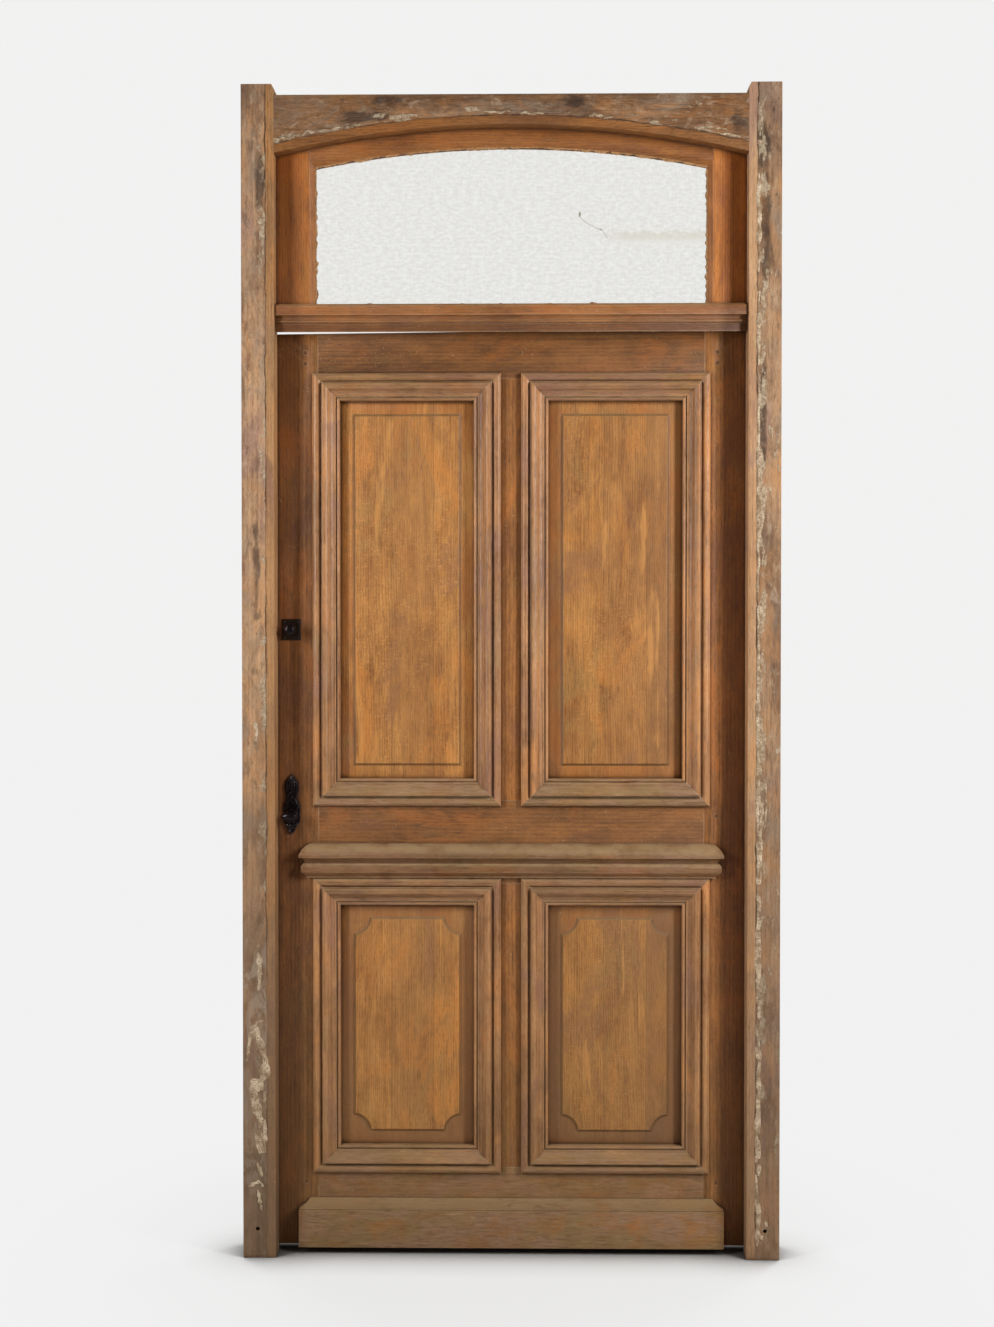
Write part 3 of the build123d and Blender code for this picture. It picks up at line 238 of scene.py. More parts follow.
def oak(mat, light, dark, ring_width, ring_wander, fleck, wax=0.42, redder=0.5):
    """Returns colour, height and roughness of planed oak from the grain attribute."""
    grain = mat.attribute("grain")
    across, inward, along = mat.split(grain)
    figure = mat.drawn(grain, (7, 7, 0.9), 3, 0.45, 0.6)
    wander = mat.plus(figure, ring_wander, across)
    turn = mat.times(wander, 2 * math.pi / ring_width)
    ring = mat.plus(mat.math("SINE", turn), 0.5, 0.5)
    uneven = mat.drawn(grain, (120, 120, 2.0), 2, 0.6)
    ring = mat.times(mat.math("POWER", ring, 1.6), uneven)
    fibre = mat.drawn(grain, (430, 430, 7), 4, 0.6)
    streak = mat.drawn(grain, (70, 70, 4.5), 3, 0.55, 0.4, place=(2, 2, 2))
    pore = mat.drawn(grain, (1300, 1300, 75), 1, 0.5)
    pore = mat.band(mat.plus(ring, 0.1, pore), 0.60, 0.70)
    cloud = mat.drawn(grain, (7, 7, 3.2), 5, 0.66, 0.7)
    bloom = mat.drawn(grain, (34, 34, 14), 4, 0.6, 0.8, place=(1, 4, 6))
    blend = mat.total(mat.times(ring, 0.16), (fibre, 0.32), (streak, 0.3), (bloom, 0.45), (cloud, 0.8))
    colour = mat.mix(mat.plus(blend, 2.5, -1.97, clamp=True), light, dark)
    hue = mat.drawn(grain, (8, 8, 4.0), 5, 0.62, 0.8, place=(6, 3, 8))
    moss = mat.drawn(grain, (11, 11, 5.0), 4, 0.6, 0.8, place=(2, 7, 3))
    warm = graded(light, 1.10, 0.90, 0.62)
    plum = graded(light, 0.55, 0.53, 0.85)
    olive = graded(light, 0.66, 0.84, 0.95)
    colour = mat.lay(colour, (mat.band(hue, 0.52, 0.66), redder, warm),
                     (mat.band(hue, 0.47, 0.36), redder, plum),
                     (mat.band(moss, 0.55, 0.70), redder * 0.7, olive))
    if fleck > 0:
        ray = mat.drawn(grain, (75, 75, 330), 1.5, 0.5, 1.6, turn=(0, 0.16, 0))
        where = mat.drawn(grain, (9, 9, 3), 2, 0.5, place=(3, 1, 7))
        ray = mat.times(mat.band(ray, 0.56, 0.68), mat.band(where, 0.45, 0.62))
        colour = mat.lay(colour, (ray, fleck, graded(light, 1.25, 1.3, 1.5)))
    vessel = mat.drawn(grain, (480, 480, 26), 2, 0.6, 0.5, place=(7, 5, 3))
    vessel = mat.times(mat.band(vessel, 0.56, 0.68), mat.band(cloud, 0.3, 0.6, 0.35, 1.0))
    fleece = mat.drawn(grain, (260, 260, 70), 2, 0.6, 1.2, place=(1, 9, 4))
    split_noise = mat.drawn(grain, (26, 26, 1.0), 2, 0.5, place=(5, 5, 5))
    room = mat.band(mat.noise(mat.stretch(grain, (6, 6, 1.4), place=(9, 2, 4))), 0.58, 0.66)
    check = mat.times(mat.band(mat.apart(split_noise, 0.5), 0.0045, 0.0), room)
    deep = graded(dark, 0.4, 0.4, 0.4)
    glint = graded(light, 1.2, 1.22, 1.25)
    colour = mat.lay(colour, (vessel, 0.52, deep), (mat.band(fleece, 0.60, 0.72), 0.35, glint),
                     (pore, 0.4, deep), (check, 0.4, deep))
    height = mat.total(mat.times(pore, -0.5), (fibre, 0.45), (streak, 0.5), (check, -1.4))
    rough = mat.total(wax, (fibre, 0.2), (pore, 0.15))
    # The tone attribute multiplies the colour; it is partly painted light.
    colour = mat.mix(1.0, colour, mat.attribute("tone", "Fac"), "MULTIPLY")
    return colour, height, rough


def wear_and_painted_light(mat, colour, rough, dirt_and_shade_reach, dirt_and_shade, wear_and_highlight_colour, wear_and_highlight, dust=0.0, wear_and_highlight_reach=0.0026):
    """Darker in corners and quirks, part grime and part painted shade; lighter on the arrises,
    part abrasion and part painted highlight; pale specks; and dust where a face looks up.
    """
    here = mat.coordinates
    patch = mat.noise(here, 24, 4, 0.62)
    # Rubbed arrises turn lighter: worn stain, and partly a painted highlight along each edge.
    rubbed_and_lit = mat.times(mat.edge(wear_and_highlight_reach), mat.band(patch, 0.22, 0.6))
    speck = mat.noise(here, 330, 1, 0.5)
    speck = mat.times(mat.band(speck, 0.70, 0.76), mat.band(patch, 0.46, 0.6))
    # Ambient occlusion darkens corners and quirks: dirt, and painted shade as well.
    colour = mat.lay(colour, (mat.band(mat.crevice(dirt_and_shade_reach), 0.9, 0.4), dirt_and_shade, tint(62, 34, 14)),
                     (rubbed_and_lit, wear_and_highlight, wear_and_highlight_colour), (speck, 0.7, tint(205, 176, 138)))
    if dust > 0:
        lies = mat.band(mat.facing(2), 0.2, 0.7)
        lies = mat.times(lies, mat.band(patch, 0.28, 0.62, 0.25))
        colour = mat.lay(colour, (lies, dust, tint(168, 140, 100)))
        rough = mat.plus(lies, 0.25, rough)
    return colour, rough


# Panels are glued up from staves of this width, counted from this far left of the middle.
STAVE = 0.095
PANEL_EDGE = 0.268
FIELD_FACE = LEAF_FACE + (13 - 5.5) * MM


def panel_marks(mat, colour, staves):
    """What a panel shows besides its grain: glued staves, warm streaks, its sunk margin, and painted shade
    on faces that turn away from the front.
    """
    here = mat.coordinates
    x, y, z = mat.split(here)
    hollow = mat.drawn(here, (9, 9, 5), 3, 0.6)
    stave = mat.plus(x, 1 / STAVE, PANEL_EDGE / STAVE)
    number = mat.math("FLOOR", stave)
    wild = mat.add("ShaderNodeTexWhiteNoise", {"W": number}, "Value", noise_dimensions="1D")
    shade = mat.mix(0.5, colour, tint(132, 92, 56))
    glow = mat.drawn(here, (26, 26, 3.2), 4, 0.62, 0.6, place=(5, 1, 3))
    seam = mat.apart(mat.math("FRACT", stave), 0.5)
    sunk = mat.band(y, FIELD_FACE + 0.003, FIELD_FACE + 0.005)
    edge_share = mat.times(mat.band(hollow, 0.42, 0.62), 0.5)
    low_margin = mat.times(sunk, mat.band(z, 1.0, 0.5))
    # Painted shade: faces that turn away from the front, such as the field's bevels, are darkened.
    painted_bevel_shade = mat.band(mat.math("ABSOLUTE", mat.facing(1)), 0.97, 0.85)
    return mat.lay(colour, (mat.band(wild, 0.25, 0.95), staves, shade),
                   (mat.band(glow, 0.60, 0.70), 0.5, tint(222, 156, 82)),
                   (mat.band(seam, 0.4945, 0.4985), 0.55, tint(60, 34, 14)),
                   (sunk, edge_share, tint(178, 106, 46)), (low_margin, 0.6, tint(120, 84, 58)),
                   (painted_bevel_shade, 0.55, tint(92, 66, 34)))


def stained_oak(name, light, dark, ring_width=0.009, ring_wander=0.03, fleck=0.0, dust=0.75,
                low_grime=0.0, staves=0.0, redder=0.5, wear_and_highlight=0.5, wax=0.42, painted_shade_below=None,
                wear_and_highlight_reach=0.004):
    """Stained and waxed oak of the leaf, the sash and the transom."""
    mat = Finish(name)
    here = mat.coordinates
    colour, height, rough = oak(mat, light, dark, ring_width, ring_wander, fleck, wax, redder)
    x, y, z = mat.split(here)
    grimy = mat.drawn(here, (14, 14, 20), 5, 0.65, 0.6)
    grimy = mat.times(mat.band(grimy, 0.26, 0.56), mat.attribute("grime", "Fac"))
    film = mat.drawn(here, (7, 7, 18), 4, 0.6, 0.8)
    film = mat.mix(mat.band(film, 0.42, 0.6), tint(168, 130, 104), tint(154, 124, 82))
    scuff = mat.drawn(here, (26, 26, 230), 5, 0.72, 0.6)
    film = mat.mix(mat.band(scuff, 0.49, 0.64, 0.0, 0.75), film, tint(98, 70, 48))
    film = mat.mix(mat.band(scuff, 0.43, 0.32, 0.0, 0.65), film, tint(210, 174, 136))
    colour = mat.mix(grimy, colour, film)
    # Painted shade: below the given height, 22 mm over the transom's underside, the sash is darkened where
    # the transom shades it.
    if painted_shade_below:
        under = mat.times(mat.band(z, painted_shade_below + 0.002, painted_shade_below - 0.002), 0.95)
        colour = mat.mix(under, colour, (0.5, 0.48, 0.46, 1.0), "MULTIPLY")
    if staves > 0:
        colour = panel_marks(mat, colour, staves)
    colour, rough = wear_and_painted_light(mat, colour, rough, 0.010, 0.75, tint(206, 166, 124), wear_and_highlight, dust, wear_and_highlight_reach)
    if low_grime > 0:
        reach = mat.plus(mat.drawn(here, (6, 6, 2.5), 4, 0.6), -0.7, z)
        low = mat.band(reach, 0.75, -0.35)
        colour = mat.lay(colour, (low, low_grime, tint(106, 80, 41)))
        rough = mat.plus(low, 0.18, rough)
    # Painted shade: within 40 to 70 mm of each jamb the wood is darkened, more on the right, as the jambs'
    # recess shades it.
    wavy = mat.drawn(here, (20, 1, 5), 3, 0.6)
    from_jamb = mat.minus(CLEAR, mat.math("ABSOLUTE", x))
    from_jamb = mat.plus(mat.minus(wavy, 0.5), 0.012, from_jamb)
    painted_jamb_shade = mat.times(mat.band(from_jamb, 0.070, 0.040), mat.band(x, -0.4, 0.4, 0.6, 0.95))
    colour = mat.mix(painted_jamb_shade, colour, (0.55, 0.43, 0.23, 1.0), "MULTIPLY")
    normal = mat.relief(height, 0.0003)
    return mat.set(Base_Color=colour, Roughness=rough, Normal=normal, Specular_IOR_Level=0.45)


leaf_oak = stained_oak("leaf_oak", tint(158, 102, 50), tint(95, 56, 22), low_grime=0.45, redder=0.7)
panel_oak = stained_oak("panel_oak", tint(204, 142, 74), tint(138, 84, 36), ring_width=0.0055,
                        ring_wander=0.05, fleck=0.5, dust=0.3, low_grime=0.3, staves=0.9, redder=0.6)
moulding_oak = stained_oak("moulding_oak", tint(198, 142, 92), tint(118, 74, 40), low_grime=0.4,
                           dust=0.4, wear_and_highlight=0.85, redder=0.6, wax=0.32, wear_and_highlight_reach=0.0026)
sash_oak = stained_oak("sash_oak", tint(180, 114, 54), tint(122, 70, 30), ring_width=0.006, dust=0.45,
                       painted_shade_below=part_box("transom")[0].z + 22 * MM)
print("stained oak for the leaf, the panels, the mouldings and the sash")

# %% [markdown]
# The frame was never meant to be seen: its outer part sat in the wall, raw and mortared,
# and only a strip beside the opening was stained. The strip's border runs up each jamb and
# follows the arch, so one distance does for both: how far a point lies outside the opening.
# Under the springing that is its distance from the middle less half the doorway, and above
# it the distance from the arch's centre less the arch's radius.

# %% Raw oak of the frame
STRIP = 19.0 * MM
RISE = 61.5 * MM
ARCH_CROWN = HEAD_TOP - 64.5 * MM
ARCH_RADIUS = (CLEAR ** 2 + RISE ** 2) / (2 * RISE)
ARCH_CENTRE = ARCH_CROWN - ARCH_RADIUS
print("arch radius %.3f, centre at z %.3f" % (ARCH_RADIUS, ARCH_CENTRE))

# Each kind of weathering has its noise scale and place, the limits of its patches, its
# share and its colour.
WEATHER = ((9, (0, 0, 0), 0.44, 0.66, 0.8, tint(112, 84, 62)),
           (15, (4, 0, 2), 0.48, 0.68, 0.7, tint(148, 128, 108)),
           (18, (9, 3, 6), 0.50, 0.68, 0.6, tint(186, 134, 88)),
           (32, (3, 6, 1), 0.50, 0.70, 0.6, tint(92, 66, 48)),
           (60, (5, 2, 8), 0.54, 0.70, 0.5, tint(190, 164, 136)))


def raw_oak(name, light, dark, strip_light, strip_dark, run, stains, lime_share, foot_share):
    """Weathered oak with stains and lime, and the stained strip beside the opening.
    run is how far noise is stretched in x and z: tall for a jamb, wide for the head. Each
    dark stain has its place in x and z and its reach in x and z."""
    mat = Finish(name)
    here = mat.coordinates
    colour, height, rough = oak(mat, light, dark, 0.012, 0.05, 0.0, 0.68)
    stain_colour, stain_height, stain_rough = oak(mat, strip_light, strip_dark, 0.007, 0.03, 0.0, 0.5)
    x, y, z = mat.split(here)
    side = mat.minus(mat.math("ABSOLUTE", x), CLEAR)
    lift = mat.minus(z, ARCH_CENTRE)
    arch = mat.minus(mat.math("SQRT", mat.squares(x, lift)), ARCH_RADIUS)
    inside = mat.math("LESS_THAN", side, 0.0)
    outside = mat.math("ADD", mat.times(inside, arch), mat.times(mat.minus(1.0, inside), side))

    def blotches(scale, at, detail=5, rough_share=0.62, twist=0.5):
        grown = mat.stretch(here, (scale * run[0], scale, scale * run[1]), place=at)
        return mat.noise(grown, 1, detail, rough_share, twist)

    ragged = blotches(46, (7, 7, 7), 4, 0.65)
    border = mat.plus(mat.minus(ragged, 0.5), 0.010, outside)
    strip = mat.band(border, STRIP + 0.0015, STRIP - 0.0015)
    raw_only = mat.minus(1.0, strip)
    for scale, at, low, high, share, shade in WEATHER:
        colour = mat.lay(colour, (mat.band(blotches(scale, at, 5, 0.66), low, high), share, shade))
    soot = mat.band(blotches(26, (2, 8, 1), 6, 0.7), 0.62, 0.70)
    for at_x, at_z, reach_x, reach_z in stains:
        near_x = mat.math("DIVIDE", mat.minus(x, at_x), reach_x)
        near_z = mat.math("DIVIDE", mat.minus(z, at_z), reach_z)
        spot = mat.plus(mat.minus(ragged, 0.5), 4.2, mat.squares(near_x, near_z))
        soot = mat.math("MAXIMUM", soot, mat.band(spot, 1.5, 0.1))
    colour = mat.lay(colour, (soot, 0.72, tint(44, 32, 27)))
    colour = mat.mix(strip, colour, stain_colour)
    line = mat.band(mat.apart(border, STRIP), 0.0026, 0.0004)
    line = mat.times(line, mat.band(blotches(22, (6, 4, 1), 4), 0.40, 0.60, 0.35, 0.95))
    colour = mat.mix(line, colour, tint(56, 36, 24))
    along_border = mat.apart(outside, STRIP + 0.007)
    lime = mat.plus(mat.band(along_border, 0.020, 0.002), 0.12, blotches(38, (1, 1, 1), 4, 0.62, 0.3))
    lime = mat.band(lime, 0.66 - lime_share, 0.72 - lime_share)
    lime = mat.times(lime, mat.plus(raw_only, 0.88, 0.07))
    lime = mat.times(lime, mat.band(y, depth(9), depth(2)))
    crumbs = mat.noise(here, 160, 4, 0.7)
    lime_colour = mat.mix(mat.band(crumbs, 0.35, 0.65), tint(150, 124, 94), tint(206, 188, 160))
    wash = mat.band(blotches(26, (8, 2, 4), 4, 0.62, 2.2), 0.46, 0.57)
    wash_reach = mat.times(mat.band(z, 0.76, 0.62), mat.band(z, 0.10, 0.18))
    wash_reach = mat.times(wash_reach, mat.math("LESS_THAN", x, 0.0))
    wash_share = mat.times(wash_reach, mat.times(raw_only, 0.7))
    pits = mat.band(mat.noise(here, 190, 2, 0.6), 0.665, 0.72)
    foot = mat.band(mat.plus(ragged, -0.5, z), 1.5, -0.3)
    colour = mat.lay(colour, (lime, 0.8, lime_colour), (wash, wash_share, tint(208, 188, 164)),
                     (pits, mat.times(raw_only, 0.8), tint(58, 42, 32)),
                     (foot, foot_share, tint(108, 84, 62)))
    colour, rough = wear_and_painted_light(mat, colour, rough, 0.010, 0.6, tint(186, 152, 114), 0.3, 0.25)
    rough = mat.mix(strip, rough, stain_rough)
    pitted = mat.drawn(here, (90 * run[0], 90, 90 * run[1]), 5, 0.7)
    height = mat.plus(mat.times(pitted, raw_only), 1.6, height)
    height = mat.plus(lime, mat.plus(crumbs, 2.0, 1.0), height)
    normal = mat.relief(height, 0.0006)
    return mat.set(Base_Color=colour, Roughness=rough, Normal=normal, Specular_IOR_Level=0.35)


right_jamb_oak = raw_oak("right_jamb_oak", tint(181, 142, 107), tint(134, 101, 74), tint(210, 166, 124),
                         tint(176, 128, 88), (1.0, 0.4),
                         [(0.545, 2.455, 0.022, 0.055), (0.557, 2.26, 0.013, 0.10),
                          (0.552, 1.86, 0.008, 0.12)], 0.05, 0.5)
left_jamb_oak = raw_oak("left_jamb_oak", tint(218, 172, 130), tint(164, 124, 92), tint(196, 146, 98),
                        tint(152, 108, 66), (1.0, 0.4),
                        [(-0.551, 2.36, 0.012, 0.09), (-0.560, 1.55, 0.008, 0.12)], 0.0, 0.8)
head_oak = raw_oak("head_oak", tint(156, 110, 69), tint(108, 76, 50), tint(158, 104, 52),
                   tint(118, 72, 32), (0.5, 1.0),
                   [(0.138, 2.546, 0.026, 0.016), (-0.325, 2.512, 0.06, 0.013), (0.50, 2.50, 0.02, 0.03),
                    (-0.27, 2.548, 0.03, 0.012)],
                   0.02, 0.0)
print("raw oak for the jambs and the head")

# %% [markdown]
# Planed boards have edges that are rounded by a scraper and a century of hands. A CAD
# solid's are knife-sharp and catch no light. So each board is copied, its loose triangles
# are merged back into flat faces, and a Bevel modifier rounds what is sharper than about
# thirty degrees. The grain attribute is written at the same time, with a tone for the whole
# board, partly painted light, and a share of grime for the boards that lie low.

# %% Boards with soft edges
GRAIN_AXES = {"up": (0, 1, 2), "across": (2, 1, 0)}
# Each board's tone multiplies its colour: partly the board's own, partly painted light, such as the
# right-hand stiles lighter than the left-hand ones.
TONES_AND_LIGHT = {
    "leaf_upper_muntin": 1.45, "leaf_lower_muntin": 1.48, "leaf_top_rail": 0.81, "plinth": 1.58,
    "leaf_bottom_rail": 1.22, "leaf_lock_rail": 1.0, "leaf_lock_stile": 1.07,
    "leaf_hinge_stile": 1.38, "cap_moulding": 0.82, "fanlight_top_rail": 0.86,
    "panel_upper_left": 1.0, "panel_upper_right": 0.94, "panel_lower_left": 1.04,
    "panel_lower_right": 0.88, "fanlight_stile_right": 1.55, "fanlight_stile_left": 1.15,
    "transom": 1.0}
GRIME = {"plinth": 0.95, "leaf_bottom_rail": 0.6, "cap_moulding": 0.3, "leaf_lock_rail": 0.05,
         "transom": 0.15}


def write_points(mesh, name, values):
    """Stores one number or one vector for each point of the mesh."""
    values = np.asarray(values, np.float32)
    kind, key = ("FLOAT_VECTOR", "vector") if values.ndim == 2 else ("FLOAT", "value")
    mesh.attributes.new(name, kind, "POINT").data.foreach_set(key, values.ravel())


def write_board(mesh, grain, tone, grime):
    """Stores a board's grain, and one tone and one share of grime for all of it."""
    write_points(mesh, "grain", grain)
    write_points(mesh, "tone", np.full(len(grain), tone))
    write_points(mesh, "grime", np.full(len(grain), grime))


def points_of(mesh):
    points = np.empty(len(mesh.vertices) * 3)
    mesh.vertices.foreach_get("co", points)
    return points.reshape(-1, 3)


def place(obj, body, slot, material, *replaced):
    """Puts a finished piece on its body with its material, and hides the CAD nodes that it stands for."""
    bpy.context.scene.collection.objects.link(obj)
    if material:
        obj.data.materials.clear()
        obj.data.materials.append(material)
    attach(obj, body)
    if replaced:
        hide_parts(*replaced)
    return obj


def mesh_from(shell, name):
    """The mesh of a finished bmesh, which is freed."""
    mesh = bpy.data.meshes.new(name)
    shell.to_mesh(mesh)
    shell.free()
    return mesh


def softened(node, direction, material, width=0.0012, segments=2):
    """A copy of a CAD board with rounded edges, standing for the node."""
    shell = bmesh.new()
    shell.from_mesh(nodes[node].data)
    bmesh.ops.remove_doubles(shell, verts=shell.verts, dist=2e-6)
    bmesh.ops.dissolve_limit(shell, angle_limit=math.radians(0.8), verts=shell.verts, edges=shell.edges)
    mesh = mesh_from(shell, "soft_" + node)
    grain = points_of(mesh)[:, GRAIN_AXES[direction]] + rng.uniform(-3, 3, 3)
    write_board(mesh, grain, TONES_AND_LIGHT.get(node, rng.uniform(0.94, 1.06)), GRIME.get(node, 0.0))
    mesh.polygons.foreach_set("use_smooth", np.ones(len(mesh.polygons), bool))
    obj = bpy.data.objects.new("soft_" + node, mesh)
    rounding = obj.modifiers.new("arris", "BEVEL")
    rounding.width = width
    rounding.segments = segments
    rounding.limit_method = "ANGLE"
    rounding.angle_limit = math.radians(32)
    rounding.harden_normals = True
    return place(obj, body_of[node], slot_of[node], material, node)


UPRIGHT_SASH = ["fanlight_stile_left", "fanlight_stile_right", "glazing_bead_left", "glazing_bead_right"]
LEVEL_SASH = ["transom", "fanlight_top_rail", "fanlight_bottom_rail", "glazing_bead_top",
              "glazing_bead_bottom"]
UPRIGHT_LEAF = ["leaf_lock_stile", "leaf_hinge_stile", "leaf_lower_muntin", "leaf_upper_muntin"]
LEVEL_LEAF = ["leaf_bottom_rail", "leaf_lock_rail", "leaf_top_rail", "cap_moulding", "plinth"]
PANELS = [node for node in nodes if node.startswith("panel_")]

for names, direction, material in (
        (["jamb_left"], "up", left_jamb_oak), (["jamb_right"], "up", right_jamb_oak),
        (["arched_head"], "across", head_oak), (UPRIGHT_SASH, "up", sash_oak),
        (LEVEL_SASH, "across", sash_oak), (UPRIGHT_LEAF, "up", leaf_oak),
        (LEVEL_LEAF, "across", leaf_oak), (PANELS, "up", panel_oak)):
    for name in names:
        softened(name, direction, material)
print("softened boards made")

# %% [markdown]
# The bolection mouldings are the door's great show: a torus, a quirk, a bold nose, an ogee
# and a bead, mitred at the corners and standing 20 mm proud of the leaf. On the bench each
# length is a section run along a board. Here it is the same: one closed section, carried
# from mitre to mitre, each point of it stopping where the neighbour's same point stops.

# %% Section of the bolection moulding
def arc(start, via, end, count=7):
    """Points on the circle through three points, without the first one."""
    (ax, ay), (bx, by), (cx, cy) = start, via, end
    d = 2 * (ax * (by - cy) + bx * (cy - ay) + cx * (ay - by))
    a, b, c = ax ** 2 + ay ** 2, bx ** 2 + by ** 2, cx ** 2 + cy ** 2
    ux = (a * (by - cy) + b * (cy - ay) + c * (ay - by)) / d
    uy = (a * (cx - bx) + b * (ax - cx) + c * (bx - ax)) / d
    angles = np.unwrap([math.atan2(y - uy, x - ux) for x, y in (start, via, end)])
    if (angles[1] - angles[0]) * (angles[2] - angles[1]) < 0:
        angles[2] += math.copysign(2 * math.pi, angles[1] - angles[0])
    turn = np.linspace(angles[0], angles[2], count + 1)[1:]
    radius = math.hypot(ax - ux, ay - uy)
    return [(ux + radius * math.cos(a), uy + radius * math.sin(a)) for a in turn]


def rounded_corner(before, corner, after, radius, count=3):
    """A corner eased by a small curve that starts and ends the radius away from it."""
    corner, before, after = np.array(corner), np.array(before), np.array(after)
    a = corner + (before - corner) / np.linalg.norm(before - corner) * radius
    b = corner + (after - corner) / np.linalg.norm(after - corner) * radius
    t = np.linspace(0, 1, count + 1)[:, None]
    return [tuple(p) for p in (1 - t) ** 2 * a + 2 * t * (1 - t) * corner + t ** 2 * b]


def eased(points, sharp_degrees=28.0, radius=0.7):
    """The closed outline with every corner sharper than the limit eased."""
    result = []
    count = len(points)
    for i, corner in enumerate(points):
        before, after = points[i - 1], points[(i + 1) % count]
        a = math.atan2(corner[1] - before[1], corner[0] - before[0])
        b = math.atan2(after[1] - corner[1], after[0] - corner[0])
        bend = abs((b - a + math.pi) % (2 * math.pi) - math.pi)
        if math.degrees(bend) > sharp_degrees:
            room = min(radius, 0.4 * math.dist(before, corner), 0.4 * math.dist(corner, after))
            result += rounded_corner(before, corner, after, room)
        else:
            result.append(corner)
    return result


LAP = 12.0


def moulding_section():
    """Closed outline: inwards from the outer edge, and out from the leaf's face, in mm."""
    points = [(LAP, -14.0), (LAP, 0.0), (0.0, 0.0), (0.0, 7.0)]
    points += arc((0, 7), (8.6, 14), (19.6, 9.0), 10)
    points += [(20.4, 9.2), (22.0, 10.6), (23, 18.5)]
    points += arc((23, 18.5), (24.2, 20.1), (27, 20.5), 4)
    points += arc((27, 20.5), (33.2, 18.45), (37.75, 14.0), 7)
    points += arc((37.75, 14.0), (42.3, 8.55), (48.5, 5.5), 7)
    points += [(52, 5.5), (52, 2), (54, 2)]
    points += arc((54, 2), (57.5, 5.5), (61, 2), 9)
    points += [(61, -13), (51, -13), (51, -23), (61, -23), (61, -29)]
    points += arc((61, -29), (53, -34.5), (40, -40), 8)
    points += [(40, -42), (LAP, -42), (LAP, -28), (0, -28), (0, -14)]
    return np.array(eased(points))


section = moulding_section()
print("moulding section of", len(section), "points, standing", section[:, 1].max(), "mm proud")

# %% [markdown]
# A run of old moulding isn't dead straight. The plane chattered, the arrises took knocks,
# and the mitres opened a hair as the wood shrank. So each length gets a slow waviness and
# a few dents that only reach what stands proud.

# %% Mitred lengths
def slow_wave(t, strength, waves=5):
    """A sum of a few sines with random phases along a length."""
    phases = rng.uniform(0, 2 * np.pi, waves)
    turns = rng.uniform(2, 14, waves)
    return strength * np.sin(np.outer(t, turns) * 2 * np.pi + phases).sum(1) / waves


def grid_mesh(name, points, closed_around=False, caps=False):
    """A mesh from a grid of points: rows along, columns around."""
    rows, columns = points.shape[:2]
    index = np.arange(rows * columns).reshape(rows, columns)
    if closed_around:
        index = np.concatenate([index, index[:, :1]], 1)
    quads = np.stack([index[:-1, :-1], index[1:, :-1], index[1:, 1:], index[:-1, 1:]], -1).reshape(-1, 4)
    faces = quads.tolist()
    if caps:
        faces += [index[0, :columns].tolist(), index[-1, :columns][::-1].tolist()]
    mesh = bpy.data.meshes.new("sheet")
    mesh.from_pydata(points.reshape(-1, 3).tolist(), [], faces)
    shell = bmesh.new()
    shell.from_mesh(mesh)
    bmesh.ops.recalc_face_normals(shell, faces=shell.faces)
    mesh = mesh_from(shell, name)
    mesh.polygons.foreach_set("use_smooth", np.ones(len(mesh.polygons), bool))
    mesh.set_sharp_from_angle(angle=math.radians(50))
    return mesh


def moulding_length(name, origin, across, along, length, tone, grime, mitre_gap=0.25):
    """One length: the point at (u, v) runs from u to length - u, plus the mitre's gap."""
    steps = int(length / 7) + 2
    t = np.linspace(0, 1, steps)
    u, v = section[:, 0], section[:, 1]
    proud = np.clip(v / 20.0, 0, 1)
    sway = slow_wave(t, 0.35)[:, None] * proud
    lean = slow_wave(t, 0.30)[:, None] * proud
    for _ in range(max(3, int(length / 90))):
        at, reach, dent = rng.uniform(0, 1), rng.uniform(2, 9) / length, rng.uniform(0.2, 1.1)
        spot = np.exp(-((t - at) / reach) ** 2)[:, None] * dent * (rng.uniform(0, 1) < 0.7)
        arris = np.exp(-((u - rng.choice([8.0, 25.0, 57.5])) / 3.0) ** 2)
        sway = sway - spot * arris * proud * 1.6
    run = u + mitre_gap + t[:, None] * (length - 2 * (u + mitre_gap))
    points = (np.array(origin) + (u + lean)[..., None] * MM * np.array(across)
              + run[..., None] * MM * np.array(along)
              - (v + sway)[..., None] * MM * np.array([0.0, 1.0, 0.0]))
    mesh = grid_mesh(name, points, closed_around=True, caps=True)
    shift = rng.uniform(-3, 3, 3)
    around = np.cumsum(np.r_[0, np.linalg.norm(np.diff(section, axis=0), axis=1)]) * MM
    grain = np.stack([np.broadcast_to(around, run.shape), np.broadcast_to(v * MM, run.shape), run * MM], -1)
    write_board(mesh, (grain + shift).reshape(-1, 3), tone * rng.uniform(0.95, 1.05), grime)
    return mesh


def join(name, meshes):
    """An object of several meshes as one, keeping their attributes."""
    shell = bmesh.new()
    for mesh in meshes:
        shell.from_mesh(mesh)
    return bpy.data.objects.new(name, mesh_from(shell, name))


def sewn(name, grids, reach):
    """One closed mesh of several grids of points that share their borders."""
    shell = bmesh.new()
    for points, closed in grids:
        shell.from_mesh(grid_mesh("sheet", points, closed_around=closed))
    bmesh.ops.remove_doubles(shell, verts=shell.verts, dist=reach)
    bmesh.ops.recalc_face_normals(shell, faces=shell.faces)
    return mesh_from(shell, name)


